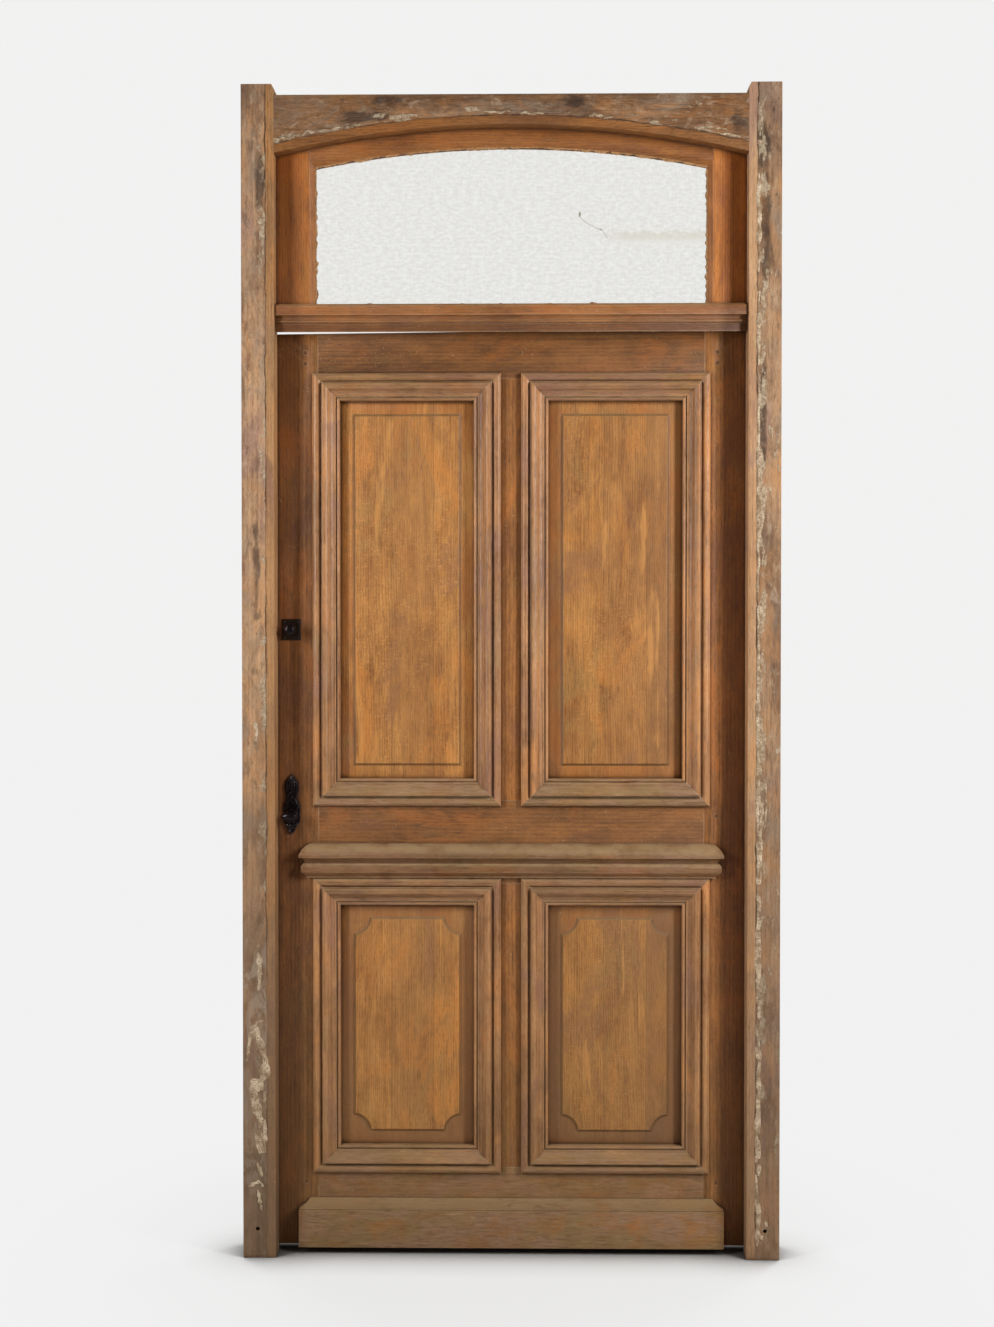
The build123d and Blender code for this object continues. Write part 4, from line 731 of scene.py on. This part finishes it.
def moulding_frame(node):
    """Four mitred lengths round one opening, at the CAD moulding's own edges."""
    low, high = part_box(node)
    wide, tall = (high.x - low.x) / MM, (high.z - low.z) / MM
    # Painted light: each length has its own tone, the upright ones lighter and the top one darker, as the
    # side lamps light them; the bottom one is lighter round the lower panels and darker round the upper
    # ones.
    bottom_run_light = 1.2 if low.z < 0.5 else 0.7
    right, up = (1, 0, 0), (0, 0, 1)
    lengths = [moulding_length("run", (x, LEAF_FACE, z), across, along, length, tone, grime)
               for x, z, across, along, length, tone, grime in (
                   (low.x, low.z, right, up, tall, 1.14, 0.1),
                   (high.x, low.z, (-1, 0, 0), up, tall, 1.16, 0.1),
                   (low.x, low.z, up, right, wide, bottom_run_light, 0.65),
                   (low.x, high.z, (0, 0, -1), right, wide, 0.82, 0.3))]
    return place(join("run_" + node, lengths), body_of[node], slot_of[node], moulding_oak, node)


for node in [n for n in nodes if n.startswith("moulding_")]:
    made = moulding_frame(node)
    print(made.name, "with", len(made.data.polygons), "faces")

# %% [markdown]
# The fanlight's pane is cathedral glass: rolled over a hammered drum, so one face is a
# field of shallow dimples. Light bends a little differently in each, which hides what is
# behind and makes the pane sparkle. The dimples are modelled, since bump alone would leave
# a flat pane seen from the side: the height is the distance to the nearest of many points.

# %% Hammered glass
def cell_height(x, z, size):
    """0 in the middle of a dimple, 1 on the ridge between: nearest of the jittered points."""
    column, row = np.floor(x / size), np.floor(z / size)
    best = np.full(x.shape, 9.0)
    for i in (-1, 0, 1):
        for j in (-1, 0, 1):
            cx, cz = column + i, row + j
            wild = np.sin(cx * 127.1 + cz * 311.7) * 43758.5453
            wilder = np.sin(cx * 269.5 + cz * 183.3) * 43758.5453
            px = (cx + 0.15 + 0.7 * (wild - np.floor(wild))) * size
            pz = (cz + 0.15 + 0.7 * (wilder - np.floor(wilder))) * size
            best = np.minimum(best, np.hypot(x - px, z - pz) / size)
    return best


CELL = 8.8 * MM


def pane():
    """A curtain of columns from the pane's foot up to its arch, dimpled in front, flat behind."""
    low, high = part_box("fanlight_glass")
    half = high.x
    radius = high.z - ARCH_CENTRE
    columns, rows = 340, 126
    x = np.linspace(low.x, half, columns)
    top = ARCH_CENTRE + np.sqrt(radius ** 2 - x ** 2)
    t = np.linspace(0, 1, rows)
    z = low.z + t[:, None] * (top - low.z)[None, :]
    x = np.broadcast_to(x, z.shape)
    dimple = cell_height(x, z, CELL)
    front = np.stack([x, low.y + 0.0007 * np.clip(0.9 - dimple, 0, 1) ** 2, z], -1)
    back = np.stack([x, np.full_like(x, high.y), z], -1)
    rim = np.concatenate([front[0], front[1:, -1], front[-1, -2::-1], front[-2:0:-1, 0]])
    rim_back = np.concatenate([back[0], back[1:, -1], back[-1, -2::-1], back[-2:0:-1, 0]])
    mesh = sewn("hammered_pane", ((front, False), (back, False), (np.stack([rim, rim_back]), True)), 1e-6)
    points = points_of(mesh)
    write_points(mesh, "cell", cell_height(points[:, 0], points[:, 2], CELL))
    return mesh


DRIP_HEIGHT = 2.277


def hammered_glass():
    """Nearly white glass, greyed in streaks and dimples and flecked with white as painted shade and painted
    sparkles for the light the hammered face bends, and one yellowed drip.
    """
    mat = Finish("hammered_glass")
    here = mat.coordinates
    fine = mat.noise(here, 150, 3, 0.6)
    cell = mat.attribute("cell", "Fac")
    flow = mat.drawn(here, (70, 1, 150), 3, 0.6, 0.3)
    # Painted shade: the glass is greyed along flow streaks and in the dimples.
    painted_glass_shade = mat.plus(cell, 0.22, flow)
    colour = mat.mix(mat.band(painted_glass_shade, 0.36, 0.86), tint(240, 239, 235), tint(255, 255, 252))
    # Painted sparkles: small white specks.
    spark = mat.drawn(here, (210, 1, 260), 1, 0.5, place=(4, 0, 2))
    colour = mat.mix(mat.band(spark, 0.66, 0.74), colour, tint(255, 255, 254))
    x, y, z = mat.split(here)
    drip = mat.plus(flow, 0.03, z)
    drip = mat.band(mat.apart(drip, DRIP_HEIGHT), 0.016, 0.002)
    drip = mat.times(drip, mat.band(x, 0.18, 0.26))
    colour = mat.lay(colour, (drip, 0.5, tint(226, 220, 202)))
    return mat.set(Base_Color=colour, Roughness=0.12, Transmission_Weight=1.0, IOR=1.46,
                   Normal=mat.relief(fine, 0.0004, strength=0.6))


glass = bpy.data.objects.new("hammered_pane", pane())
place(glass, "frame", "glass", hammered_glass(), "fanlight_glass")
print("pane with", len(glass.data.polygons), "faces")

# %% [markdown]
# The iron furniture has gone nearly black. A dark base with darker patches, bare grey on
# rubbed edges, partly a painted highlight, and a fairly tight gloss reads as old waxed iron.
# The knob's plates are browner, the hinges and the lock work plainer steel, the tongues and rings brass.

# %% Metals
def old_metal(name, base, bare_and_highlight, rough, metallic=1.0, rubbed_and_lit=0.6, grain_size=260):
    mat = Finish(name)
    here = mat.coordinates
    patch = mat.noise(here, grain_size, 4, 0.65)
    colour = mat.mix(mat.band(patch, 0.35, 0.75), base, graded(base, 0.5, 0.5, 0.5))
    # Rubbed edges show bare metal, partly a painted highlight.
    edge = mat.times(mat.edge(0.0009), mat.band(patch, 0.3, 0.6))
    colour = mat.lay(colour, (edge, rubbed_and_lit, bare_and_highlight))
    gloss = mat.band(patch, 0.2, 0.8, rough - 0.1, rough + 0.15)
    return mat.set(Base_Color=colour, Metallic=metallic, Roughness=gloss,
                   Normal=mat.relief(patch, 0.00025))


black_iron = old_metal("black_iron", tint(36, 28, 31), tint(168, 152, 154), 0.27, metallic=0.75, rubbed_and_lit=0.8)
brown_iron = old_metal("brown_iron", tint(58, 45, 36), tint(146, 126, 102), 0.34, metallic=0.7, rubbed_and_lit=0.8)
hinge_steel = old_metal("hinge_steel", tint(88, 80, 74), tint(170, 162, 152), 0.42)
old_brass = old_metal("old_brass", tint(150, 112, 52), tint(214, 178, 104), 0.34)

IRON = ["handle_plate_outer", "handle_plate_inner", "olive_handle_outer", "olive_handle_inner",
        "round_knob_outer", "round_knob_inner", "handle_spindle", "knob_spindle"]
KNOB_PLATES = ["knob_plate_outer", "knob_plate_inner"]
BRASS = ["hinge_rings", "latch_tongue", "night_bolt_tongue"]
PEGS = ["frame_pegs", "leaf_pegs"]
STEEL = [n for n in nodes if n not in IRON + KNOB_PLATES + BRASS + PEGS and slot_of[n] == "steel"]
for names, material in ((IRON, black_iron), (KNOB_PLATES, brown_iron), (STEEL, hinge_steel),
                        (BRASS, old_brass)):
    for name in names:
        softened(name, "up", material, 0.0007)

peg_oak = Finish("peg_end_grain")
rings = peg_oak.noise(peg_oak.coordinates, 420, 3, 0.6)
peg_oak.set(Base_Color=peg_oak.mix(rings, tint(118, 76, 40), tint(78, 48, 24)), Roughness=0.7,
            Normal=peg_oak.relief(rings, 0.0003))
for name in PEGS:
    nodes[name].data.materials.clear()
    nodes[name].data.materials.append(peg_oak.material)
print("metals on", len(IRON + KNOB_PLATES + STEEL + BRASS), "nodes")

# %% [markdown]
# Three things on the frame are laid on like icing: the lime left by the wall's mortar, the
# putty round the pane, and the crack in it. Each is a ribbon, a low rounded ridge that
# follows a path on a flat face, with its own width and height at every point.

# %% Mortar, putty and the crack
def ribbon(path, half_width, height, base_y):
    """A closed ridge along a path of (x, z) points, standing out from the plane at base_y."""
    path = np.asarray(path, float)
    along = np.gradient(path, axis=0)
    along /= np.linalg.norm(along, axis=1)[:, None] + 1e-12
    side = np.stack([-along[:, 1], along[:, 0]], 1)
    turn = np.linspace(0, np.pi, 7)
    across = np.r_[np.cos(turn), -0.9, 0.9]
    out = np.r_[np.sin(turn), 0, 0]
    sunk = np.r_[np.zeros(7), 1, 1] * 0.0005
    half_width, height = np.broadcast_to(half_width, len(path)), np.broadcast_to(height, len(path))
    spots = path[:, None, :] + side[:, None, :] * (across[None, :] * half_width[:, None])[..., None]
    y = base_y - out[None, :] * height[:, None] + sunk[None, :]
    return grid_mesh("ribbon", np.stack([spots[..., 0], y, spots[..., 1]], -1), True, True)


def wobble(count, reach, scale):
    """Smoothed random numbers between about -1 and 1: a hand's unsteadiness."""
    knots = rng.normal(0, 0.6, int(count / reach) + 4)
    smooth = np.interp(np.arange(count) / reach, np.arange(len(knots)), knots)
    return np.convolve(smooth, np.ones(3) / 3, "same") * scale


def swell(count, thin=0.2):
    """0 to 1 to 0 over a length, round at both ends."""
    return np.sin(np.linspace(thin, np.pi - thin, count)) ** 0.5


def crust(x, low, high, share):
    """Broken lengths of mortar up a jamb, share of them kept."""
    z = np.arange(low, high, 0.0035)
    keep = wobble(len(z), 14, 1) + wobble(len(z), 4, 0.5) > np.interp(share, [0, 1], [1.2, -1.2])
    path = np.stack([x + wobble(len(z), 9, 0.0016) + wobble(len(z), 3, 0.0008), z], 1)
    width = 0.0028 + np.abs(wobble(len(z), 5, 0.0034)) + np.abs(wobble(len(z), 2, 0.0012))
    height = 0.0007 + np.abs(wobble(len(z), 4, 0.0016)) + np.abs(wobble(len(z), 2, 0.0006))
    height = np.minimum(height, 0.003)
    pieces = []
    for start, end in np.flatnonzero(np.diff(np.r_[0, keep, 0].astype(int))).reshape(-1, 2):
        if end - start > 3:
            run = slice(start, end)
            taper = swell(end - start, 0.15)
            pieces.append(ribbon(path[run], width[run] * taper, height[run] * taper, FACE))
    return pieces


def smear(points, width, height):
    """A trowel's smear through a few points (x, z) in mm, thick in the middle, ragged at its sides."""
    points = np.array(points) * MM
    count = 14 * len(points)
    t = np.linspace(0, len(points) - 1, count)
    path = np.stack([np.interp(t, np.arange(len(points)), points[:, i]) for i in (0, 1)], 1)
    path = np.stack([np.convolve(np.pad(p, 6, "edge"), np.ones(13) / 13, "valid") for p in path.T], 1)
    path += np.stack([wobble(count, 4, 0.0010), wobble(count, 4, 0.0010)], 1)
    half = width * MM * (1 + wobble(count, 5, 0.7) + wobble(count, 2, 0.3)).clip(0.15)
    return ribbon(path, half * swell(count), height * MM * swell(count), FACE)


BORDER = CLEAR + STRIP
mortar = []
for x, low, high, share in (
        (BORDER + 0.003, 0.03, 2.46, 0.82), (BORDER + 0.009, 0.9, 1.8, 0.35),
        (-BORDER - 0.005, 0.16, 0.62, 0.25), (-BORDER - 0.012, 2.0, 2.42, 0.4),
        (BORDER + 0.024, 0.03, 0.5, 0.2), (BORDER + 0.008, 0.05, 1.1, 0.6)):
    mortar += crust(x, low, high, share)
for width, height, points in (
        (3.2, 2.6, [(-580, 156), (-568, 164), (-555, 168), (-545, 158)]),
        (4.2, 3.0, [(-560, 153), (-556, 130), (-551, 104)]),
        (4.0, 2.2, [(-563, 214), (-556, 196), (-549, 180)]),
        (4.5, 2.4, [(540, 72), (549, 52), (556, 44)]),
        (10.0, 1.6, [(-572, 520), (-556, 487), (-541, 440), (-545, 400), (-570, 373), (-562, 335),
                     (-553, 300), (-560, 271), (-550, 227)]),
        (4.4, 1.2, [(-583, 430), (-577, 490), (-562, 522), (-544, 528)]),
        (3.6, 1.3, [(-566, 1190), (-558, 1165), (-565, 1138), (-556, 1120)]),
        (6.0, 1.4, [(-560, 700), (-553, 640), (-558, 590)]),
        (2.6, 1.4, [(557, 1060), (562, 1010), (556, 950)])):
    mortar.append(smear(points, width, height))
for left in (-0.505, -0.47, -0.44, -0.36, -0.06, 0.02, 0.17, 0.40, 0.45):
    x = np.linspace(left, left + rng.uniform(0.03, 0.07), 20)
    ring = ARCH_RADIUS + STRIP + 0.006 + wobble(20, 4, 0.004)
    path = np.stack([x, ARCH_CENTRE + np.sqrt(ring ** 2 - x ** 2)], 1)
    half = (0.0028 + wobble(20, 2, 0.0013)).clip(0.0006)
    mortar.append(ribbon(path, half * swell(20), 0.0022 * swell(20), FACE))

lime = Finish("lime")
grit = lime.noise(lime.coordinates, 420, 5, 0.7)
thin = lime.band(lime.noise(lime.coordinates, 40, 3, 0.6), 0.35, 0.65)
shade = lime.mix(thin, tint(150, 122, 94), tint(222, 200, 170))
shade = lime.mix(lime.band(grit, 0.55, 0.35), shade, tint(120, 94, 68))
lime.set(Base_Color=shade, Roughness=0.92, Specular_IOR_Level=0.2, Normal=lime.relief(grit, 0.0012))
place(join("mortar_traces", mortar), "frame", "oak_raw", lime.material)
print(len(mortar), "pieces of mortar")

SIGHT_HALF = CLEAR - 85 * MM
SIGHT_BOTTOM = ARCH_CROWN - 387.5 * MM
SIGHT_RADIUS = ARCH_RADIUS - 38 * MM
GLASS_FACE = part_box("fanlight_glass")[0].y
level_x = np.linspace(-SIGHT_HALF, SIGHT_HALF, 260)
arc_z = ARCH_CENTRE + np.sqrt(SIGHT_RADIUS ** 2 - level_x ** 2)
side_z = np.linspace(SIGHT_BOTTOM, arc_z[0], 110)
putty = []
for path_x, path_z in ((level_x, arc_z - 0.001), (level_x, np.full(260, SIGHT_BOTTOM + 0.0004)),
                       (np.full(110, -SIGHT_HALF + 0.001), side_z),
                       (np.full(110, SIGHT_HALF - 0.001), side_z)):
    count = len(path_x)
    thick = 0.0030 + wobble(count, 2, 0.0030) + wobble(count, 1.0, 0.0016)
    putty.append(ribbon(np.stack([path_x, path_z], 1), thick.clip(0.0005), 0.002, GLASS_FACE + 0.0002))
putty_paste = Finish("putty")
grit = putty_paste.noise(putty_paste.coordinates, 260, 4, 0.7)
shade = putty_paste.mix(putty_paste.band(grit, 0.35, 0.65), tint(120, 78, 42), tint(196, 150, 100))
putty_paste.set(Base_Color=shade, Roughness=0.85, Normal=putty_paste.relief(grit, 0.0006))
place(join("putty", putty), "frame", "oak_sash", putty_paste.material)

crack_path = np.array([(152, 2304), (160, 2296), (172, 2288), (190, 2279), (203, 2273), (214, 2256)]) * MM
crack = [ribbon(crack_path, 0.0004, 0.00025, GLASS_FACE + 0.0001)]
for path, widths in (([(152, 2304), (152.1, 2310), (152.4, 2316)], [1.4, 2.8, 1.0]),
                     ([(196, 2277.5), (199, 2276), (202, 2274.5)], [0.6, 1.3, 0.6])):
    crack.append(ribbon(np.array(path) * MM, np.array(widths) * MM, 0.0005, GLASS_FACE))
crack_dirt = Finish("crack_dirt").set(Base_Color=tint(158, 152, 138), Roughness=0.6)
place(join("pane_crack", crack), "frame", "glass", crack_dirt)
print("putty, and a crack %.0f mm long" % (np.linalg.norm(np.diff(crack_path, axis=0), axis=1).sum() / MM))

# %% [markdown]
# The handle's plate is a small rococo casting. Its outline comes from the CAD; the relief
# on it is a height field over that outline: a rim, twisted gadroons along the stem, and a
# fluted shell at each end. It keeps clear of the handle's collar, which turns. The screws
# have true slots: each head is two half domes with a gap between them.

# %% Cast relief and screws
OUTLINE = [(-0.5, 0.02), (-0.47, 0.13), (-0.42, 0.22), (-0.37, 0.28), (-0.33, 0.42), (-0.27, 0.49),
           (-0.20, 0.48), (-0.10, 0.49), (0.0, 0.47), (0.06, 0.37), (0.12, 0.31), (0.23, 0.40),
           (0.31, 0.42), (0.385, 0.36), (0.425, 0.22), (0.47, 0.14), (0.5, 0.02)]


def cast_relief(node, low_share, high_share, sign, face_y):
    """Relief on the part of the plate between two shares of its height."""
    low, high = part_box(node)
    middle, tall, wide = (low.z + high.z) / 2, high.z - low.z, high.x - low.x
    v = np.linspace(low_share, high_share, 90)
    half = np.interp(v, *zip(*OUTLINE))
    half = np.convolve(np.pad(half, 3, "edge"), np.ones(7) / 7, "valid") * wide * 0.93
    u = np.linspace(-1, 1, 41)
    vv, uu = np.meshgrid(v, u, indexing="ij")
    shell = np.clip((np.abs(vv + 0.02) - 0.22) / 0.12, 0, 1)
    flutes = 0.5 + 0.5 * np.cos(uu * np.pi * 5)
    twist = 0.5 + 0.5 * np.sin(2 * np.pi * (vv * 9.0 + np.abs(uu) * 1.1))
    rim = np.exp(-((np.abs(uu) - 0.80) / 0.13) ** 2)
    h = 0.6 + 1.5 * rim + (1 - np.abs(uu) ** 3) * (0.8 + 1.5 * shell * flutes + 1.4 * (1 - shell) * twist)
    ends = np.sin(np.linspace(0, np.pi, len(v)))[:, None].clip(0, 0.35) / 0.35
    h = (h * ends * np.sqrt(np.clip(1 - uu ** 6, 0, 1))) * MM
    x = (low.x + high.x) / 2 + uu * half[:, None]
    z = middle + vv * tall
    front = np.stack([x, face_y + sign * h, z], -1)
    back = np.stack([x[:, ::-1], np.full_like(x, face_y - sign * 0.0006), z], -1)
    return grid_mesh("relief", np.concatenate([front, back[:, [0, 20, -1]]], 1), True, True)


reliefs = []
for node, sign, y in (("handle_plate_outer", -1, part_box("handle_plate_outer")[1].y - 0.0041),
                      ("handle_plate_inner", 1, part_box("handle_plate_inner")[0].y + 0.0041)):
    reliefs += [cast_relief(node, -0.06, 0.495, sign, y), cast_relief(node, -0.495, -0.31, sign, y)]
place(join("plate_reliefs", reliefs), "leaf", "iron_black", black_iron)


def screw(centre, out, radius, angle):
    """A slotted head on a face whose outward direction is out."""
    out = np.array(out, float)
    a = np.cross(out, (0, 0, 1) if abs(out[2]) < 0.9 else (1, 0, 0))
    b = np.cross(out, a)
    c, s = math.cos(angle), math.sin(angle)
    a, b = a * c + b * s, b * c - a * s
    halves = []
    for flip in (1, -1):
        t, r = np.meshgrid(np.linspace(0, np.pi, 13), np.linspace(0, 1, 5), indexing="ij")
        p = radius * r * np.cos(t)
        q = flip * (radius * 0.12 + radius * 0.88 * r * np.sin(t))
        h = radius * 0.34 * np.sqrt(np.clip(1 - 0.93 * r ** 2, 0, 1))
        top = centre + p[..., None] * a + q[..., None] * b + h[..., None] * out
        foot = centre + p[..., None] * a + q[..., None] * b - 0.0004 * out
        grids = [top, foot, np.stack([top[:, -1], foot[:, -1]])]
        grids += [np.stack([top[i], foot[i]]) for i in (0, -1)]
        halves.append(sewn("half_head", [(points, False) for points in grids], 2e-6))
    return halves


leaf_screws, frame_screws = [], []
for name, sign, side in (("knob_plate_outer", -1, 0), ("knob_plate_inner", 1, 1)):
    low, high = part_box(name)
    y = (low, high)[side].y
    for dx in (-1, 1):
        for dz in (-1, 1):
            x, z = (low.x + high.x) / 2 + dx * 0.0150, (low.z + high.z) / 2 + dz * 0.0175
            leaf_screws += screw((x, y - sign * 0.0002, z), (0, sign, 0), 0.0024, rng.uniform(0, 3))
for number in (1, 2, 3):
    low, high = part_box("hinge_%d_leaf_half" % number)
    for i, dz in enumerate((0.018, 0.050, 0.090, 0.122)):
        y = depth(74 if i % 2 else 88)
        leaf_screws += screw((low.x + 0.0025, y, low.z + dz), (1, 0, 0), 0.0034, rng.uniform(0, 3))
        frame_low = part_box("hinge_%d_frame_half" % number)[0]
        frame_screws += screw((CLEAR + 0.013, y, frame_low.z + dz), (-1, 0, 0), 0.0034, rng.uniform(0, 3))
for name in ("latch_keep", "night_bolt_keep"):
    low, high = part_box(name)
    for z in (low.z + 0.009, high.z - 0.009):
        frame_screws += screw((high.x, depth(78), z), (1, 0, 0), 0.0032, rng.uniform(0, 3))
for name in ("latch_case", "night_bolt_case"):
    low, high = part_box(name)
    for z in (low.z + 0.007, high.z - 0.007):
        leaf_screws += screw((low.x, depth(78), z), (-1, 0, 0), 0.0030, rng.uniform(0, 3))
screw_steel = old_metal("screw_steel", tint(70, 60, 54), tint(168, 158, 146), 0.4)
for name, body, heads in (("leaf_screws", "leaf", leaf_screws), ("frame_screws", "frame", frame_screws)):
    place(join(name, heads), body, "steel", screw_steel)
print("relief on both handle plates,", (len(leaf_screws) + len(frame_screws)) // 2, "screws")

# %% [markdown]
# A soft studio: two tall soft boxes stand left and right of the camera, the right one
# stronger and higher, so the jambs shade the leaf on both sides. Two weaker ones light the
# room side.

# %% Camera and lights
def stand(obj, place, forward):
    """Puts a camera or a lamp at a place, looking forward."""
    obj.location = place
    obj.rotation_euler = forward.to_track_quat("-Z", "Y").to_euler()
    bpy.context.scene.collection.objects.link(obj)


camera = bpy.data.objects.new("camera", bpy.data.cameras.new("camera"))
camera.data.lens = 50.02
camera.data.sensor_width = 36.0
camera.data.clip_end = 60.0
yaw, pitch = math.radians(-0.902), math.radians(1.029)
stand(camera, (0.0334, FACE - 4.050, 1.3886),
      Vector((math.sin(yaw) * math.cos(pitch), math.cos(yaw) * math.cos(pitch), -math.sin(pitch))))
bpy.context.scene.camera = camera


def soft_box(name, azimuth, height, distance, size, power):
    """An area lamp at an azimuth from the door's front, aimed at the door's middle."""
    data = bpy.data.lights.new(name, "AREA")
    data.shape = "RECTANGLE"
    data.size, data.size_y = size
    data.energy = power
    obj = bpy.data.objects.new(name, data)
    a = math.radians(azimuth)
    spot = Vector((distance * math.sin(a), -distance * math.cos(a), height))
    stand(obj, spot, Vector((0, 0, 1.25)) - spot)
    obj.visible_transmission = False


soft_box("soft_box_right", 52.5, 2.1, 2.6, (0.45, 1.6), 62)
soft_box("soft_box_left", -52.5, 1.9, 2.6, (0.45, 1.6), 39)
soft_box("soft_box_back_right", 136, 2.2, 2.8, (0.8, 1.6), 44)
soft_box("soft_box_back_left", -136, 2.2, 2.8, (0.8, 1.6), 30)

# %% [markdown]
# The backdrop is white to the camera only, so the wood isn't washed out by its light. The
# floor glows in the same white, except under and beside the door, where it keeps the shadow
# and its colour is darkened into a painted shadow.

# %% Backdrop and floor
BACKDROP = 0.885


def studio_world():
    """White to the camera and through glass, and a plain dim light to the rest."""
    world = bpy.data.worlds.new("studio")
    world.use_nodes = True
    tree = world.node_tree
    kinds = ("LightPath", "Math", "MapRange")
    path, seen, level = [tree.nodes.new("ShaderNode" + kind) for kind in kinds]
    background = tree.nodes["Background"].inputs
    background["Color"].default_value = (1.0, 1.0, 0.995, 1.0)
    seen.operation = "MAXIMUM"
    level.inputs["To Min"].default_value = 0.09
    level.inputs["To Max"].default_value = BACKDROP
    for output, socket in ((path.outputs["Is Camera Ray"], seen.inputs[0]),
                           (path.outputs["Is Transmission Ray"], seen.inputs[1]),
                           (seen.outputs[0], level.inputs["Value"]),
                           (level.outputs[0], background["Strength"])):
        tree.links.new(output, socket)
    bpy.context.scene.world = world


studio_world()


def floor():
    """A wide disc of rings: radius grows with the square of the ring's number. Close to the
    door it takes light and shadow, and under and beside it its colour is darkened into a
    painted shadow; further out it turns into the backdrop's own white."""
    rings, spokes = 40, 96
    r = (np.linspace(0, 1, rings) ** 2 * 30)[:, None]
    a = np.linspace(0, 2 * np.pi, spokes, endpoint=False)[None, :]
    points = np.stack([r * np.cos(a), r * np.sin(a), np.full((rings, spokes), -0.0005)], -1)
    mesh = grid_mesh("floor", points, closed_around=True)
    mat = Finish("floor_paint")
    here = mat.coordinates
    x, y, z = mat.split(here)
    away = mat.math("SQRT", mat.squares(x, y))
    open_air = mat.crevice(0.16)
    white = mat.times(mat.band(away, 0.35, 1.2, 0.80, 1.0), mat.band(open_air, 0.60, 0.99))
    # Painted shadow: ambient occlusion darkens the floor's colour under and beside the door.
    floor_colour_with_painted_shadow = mat.mix(mat.band(open_air, 0.3, 0.8), (0.06, 0.05, 0.04, 1.0), (0.80, 0.80, 0.79, 1.0))
    mesh.materials.append(mat.set(Base_Color=floor_colour_with_painted_shadow, Roughness=0.7))
    seen = mat.add("ShaderNodeLightPath", output="Is Camera Ray")
    glow = mat.add("ShaderNodeEmission", {"Strength": BACKDROP})
    surface = mat.add("ShaderNodeMixShader", [mat.times(seen, white), mat.shader.outputs[0], glow])
    mat.tree.links.new(surface, mat.tree.nodes["Material Output"].inputs[0])
    obj = bpy.data.objects.new("floor", mesh)
    bpy.context.scene.collection.objects.link(obj)


floor()
bpy.context.scene.view_settings.view_transform = "Standard"
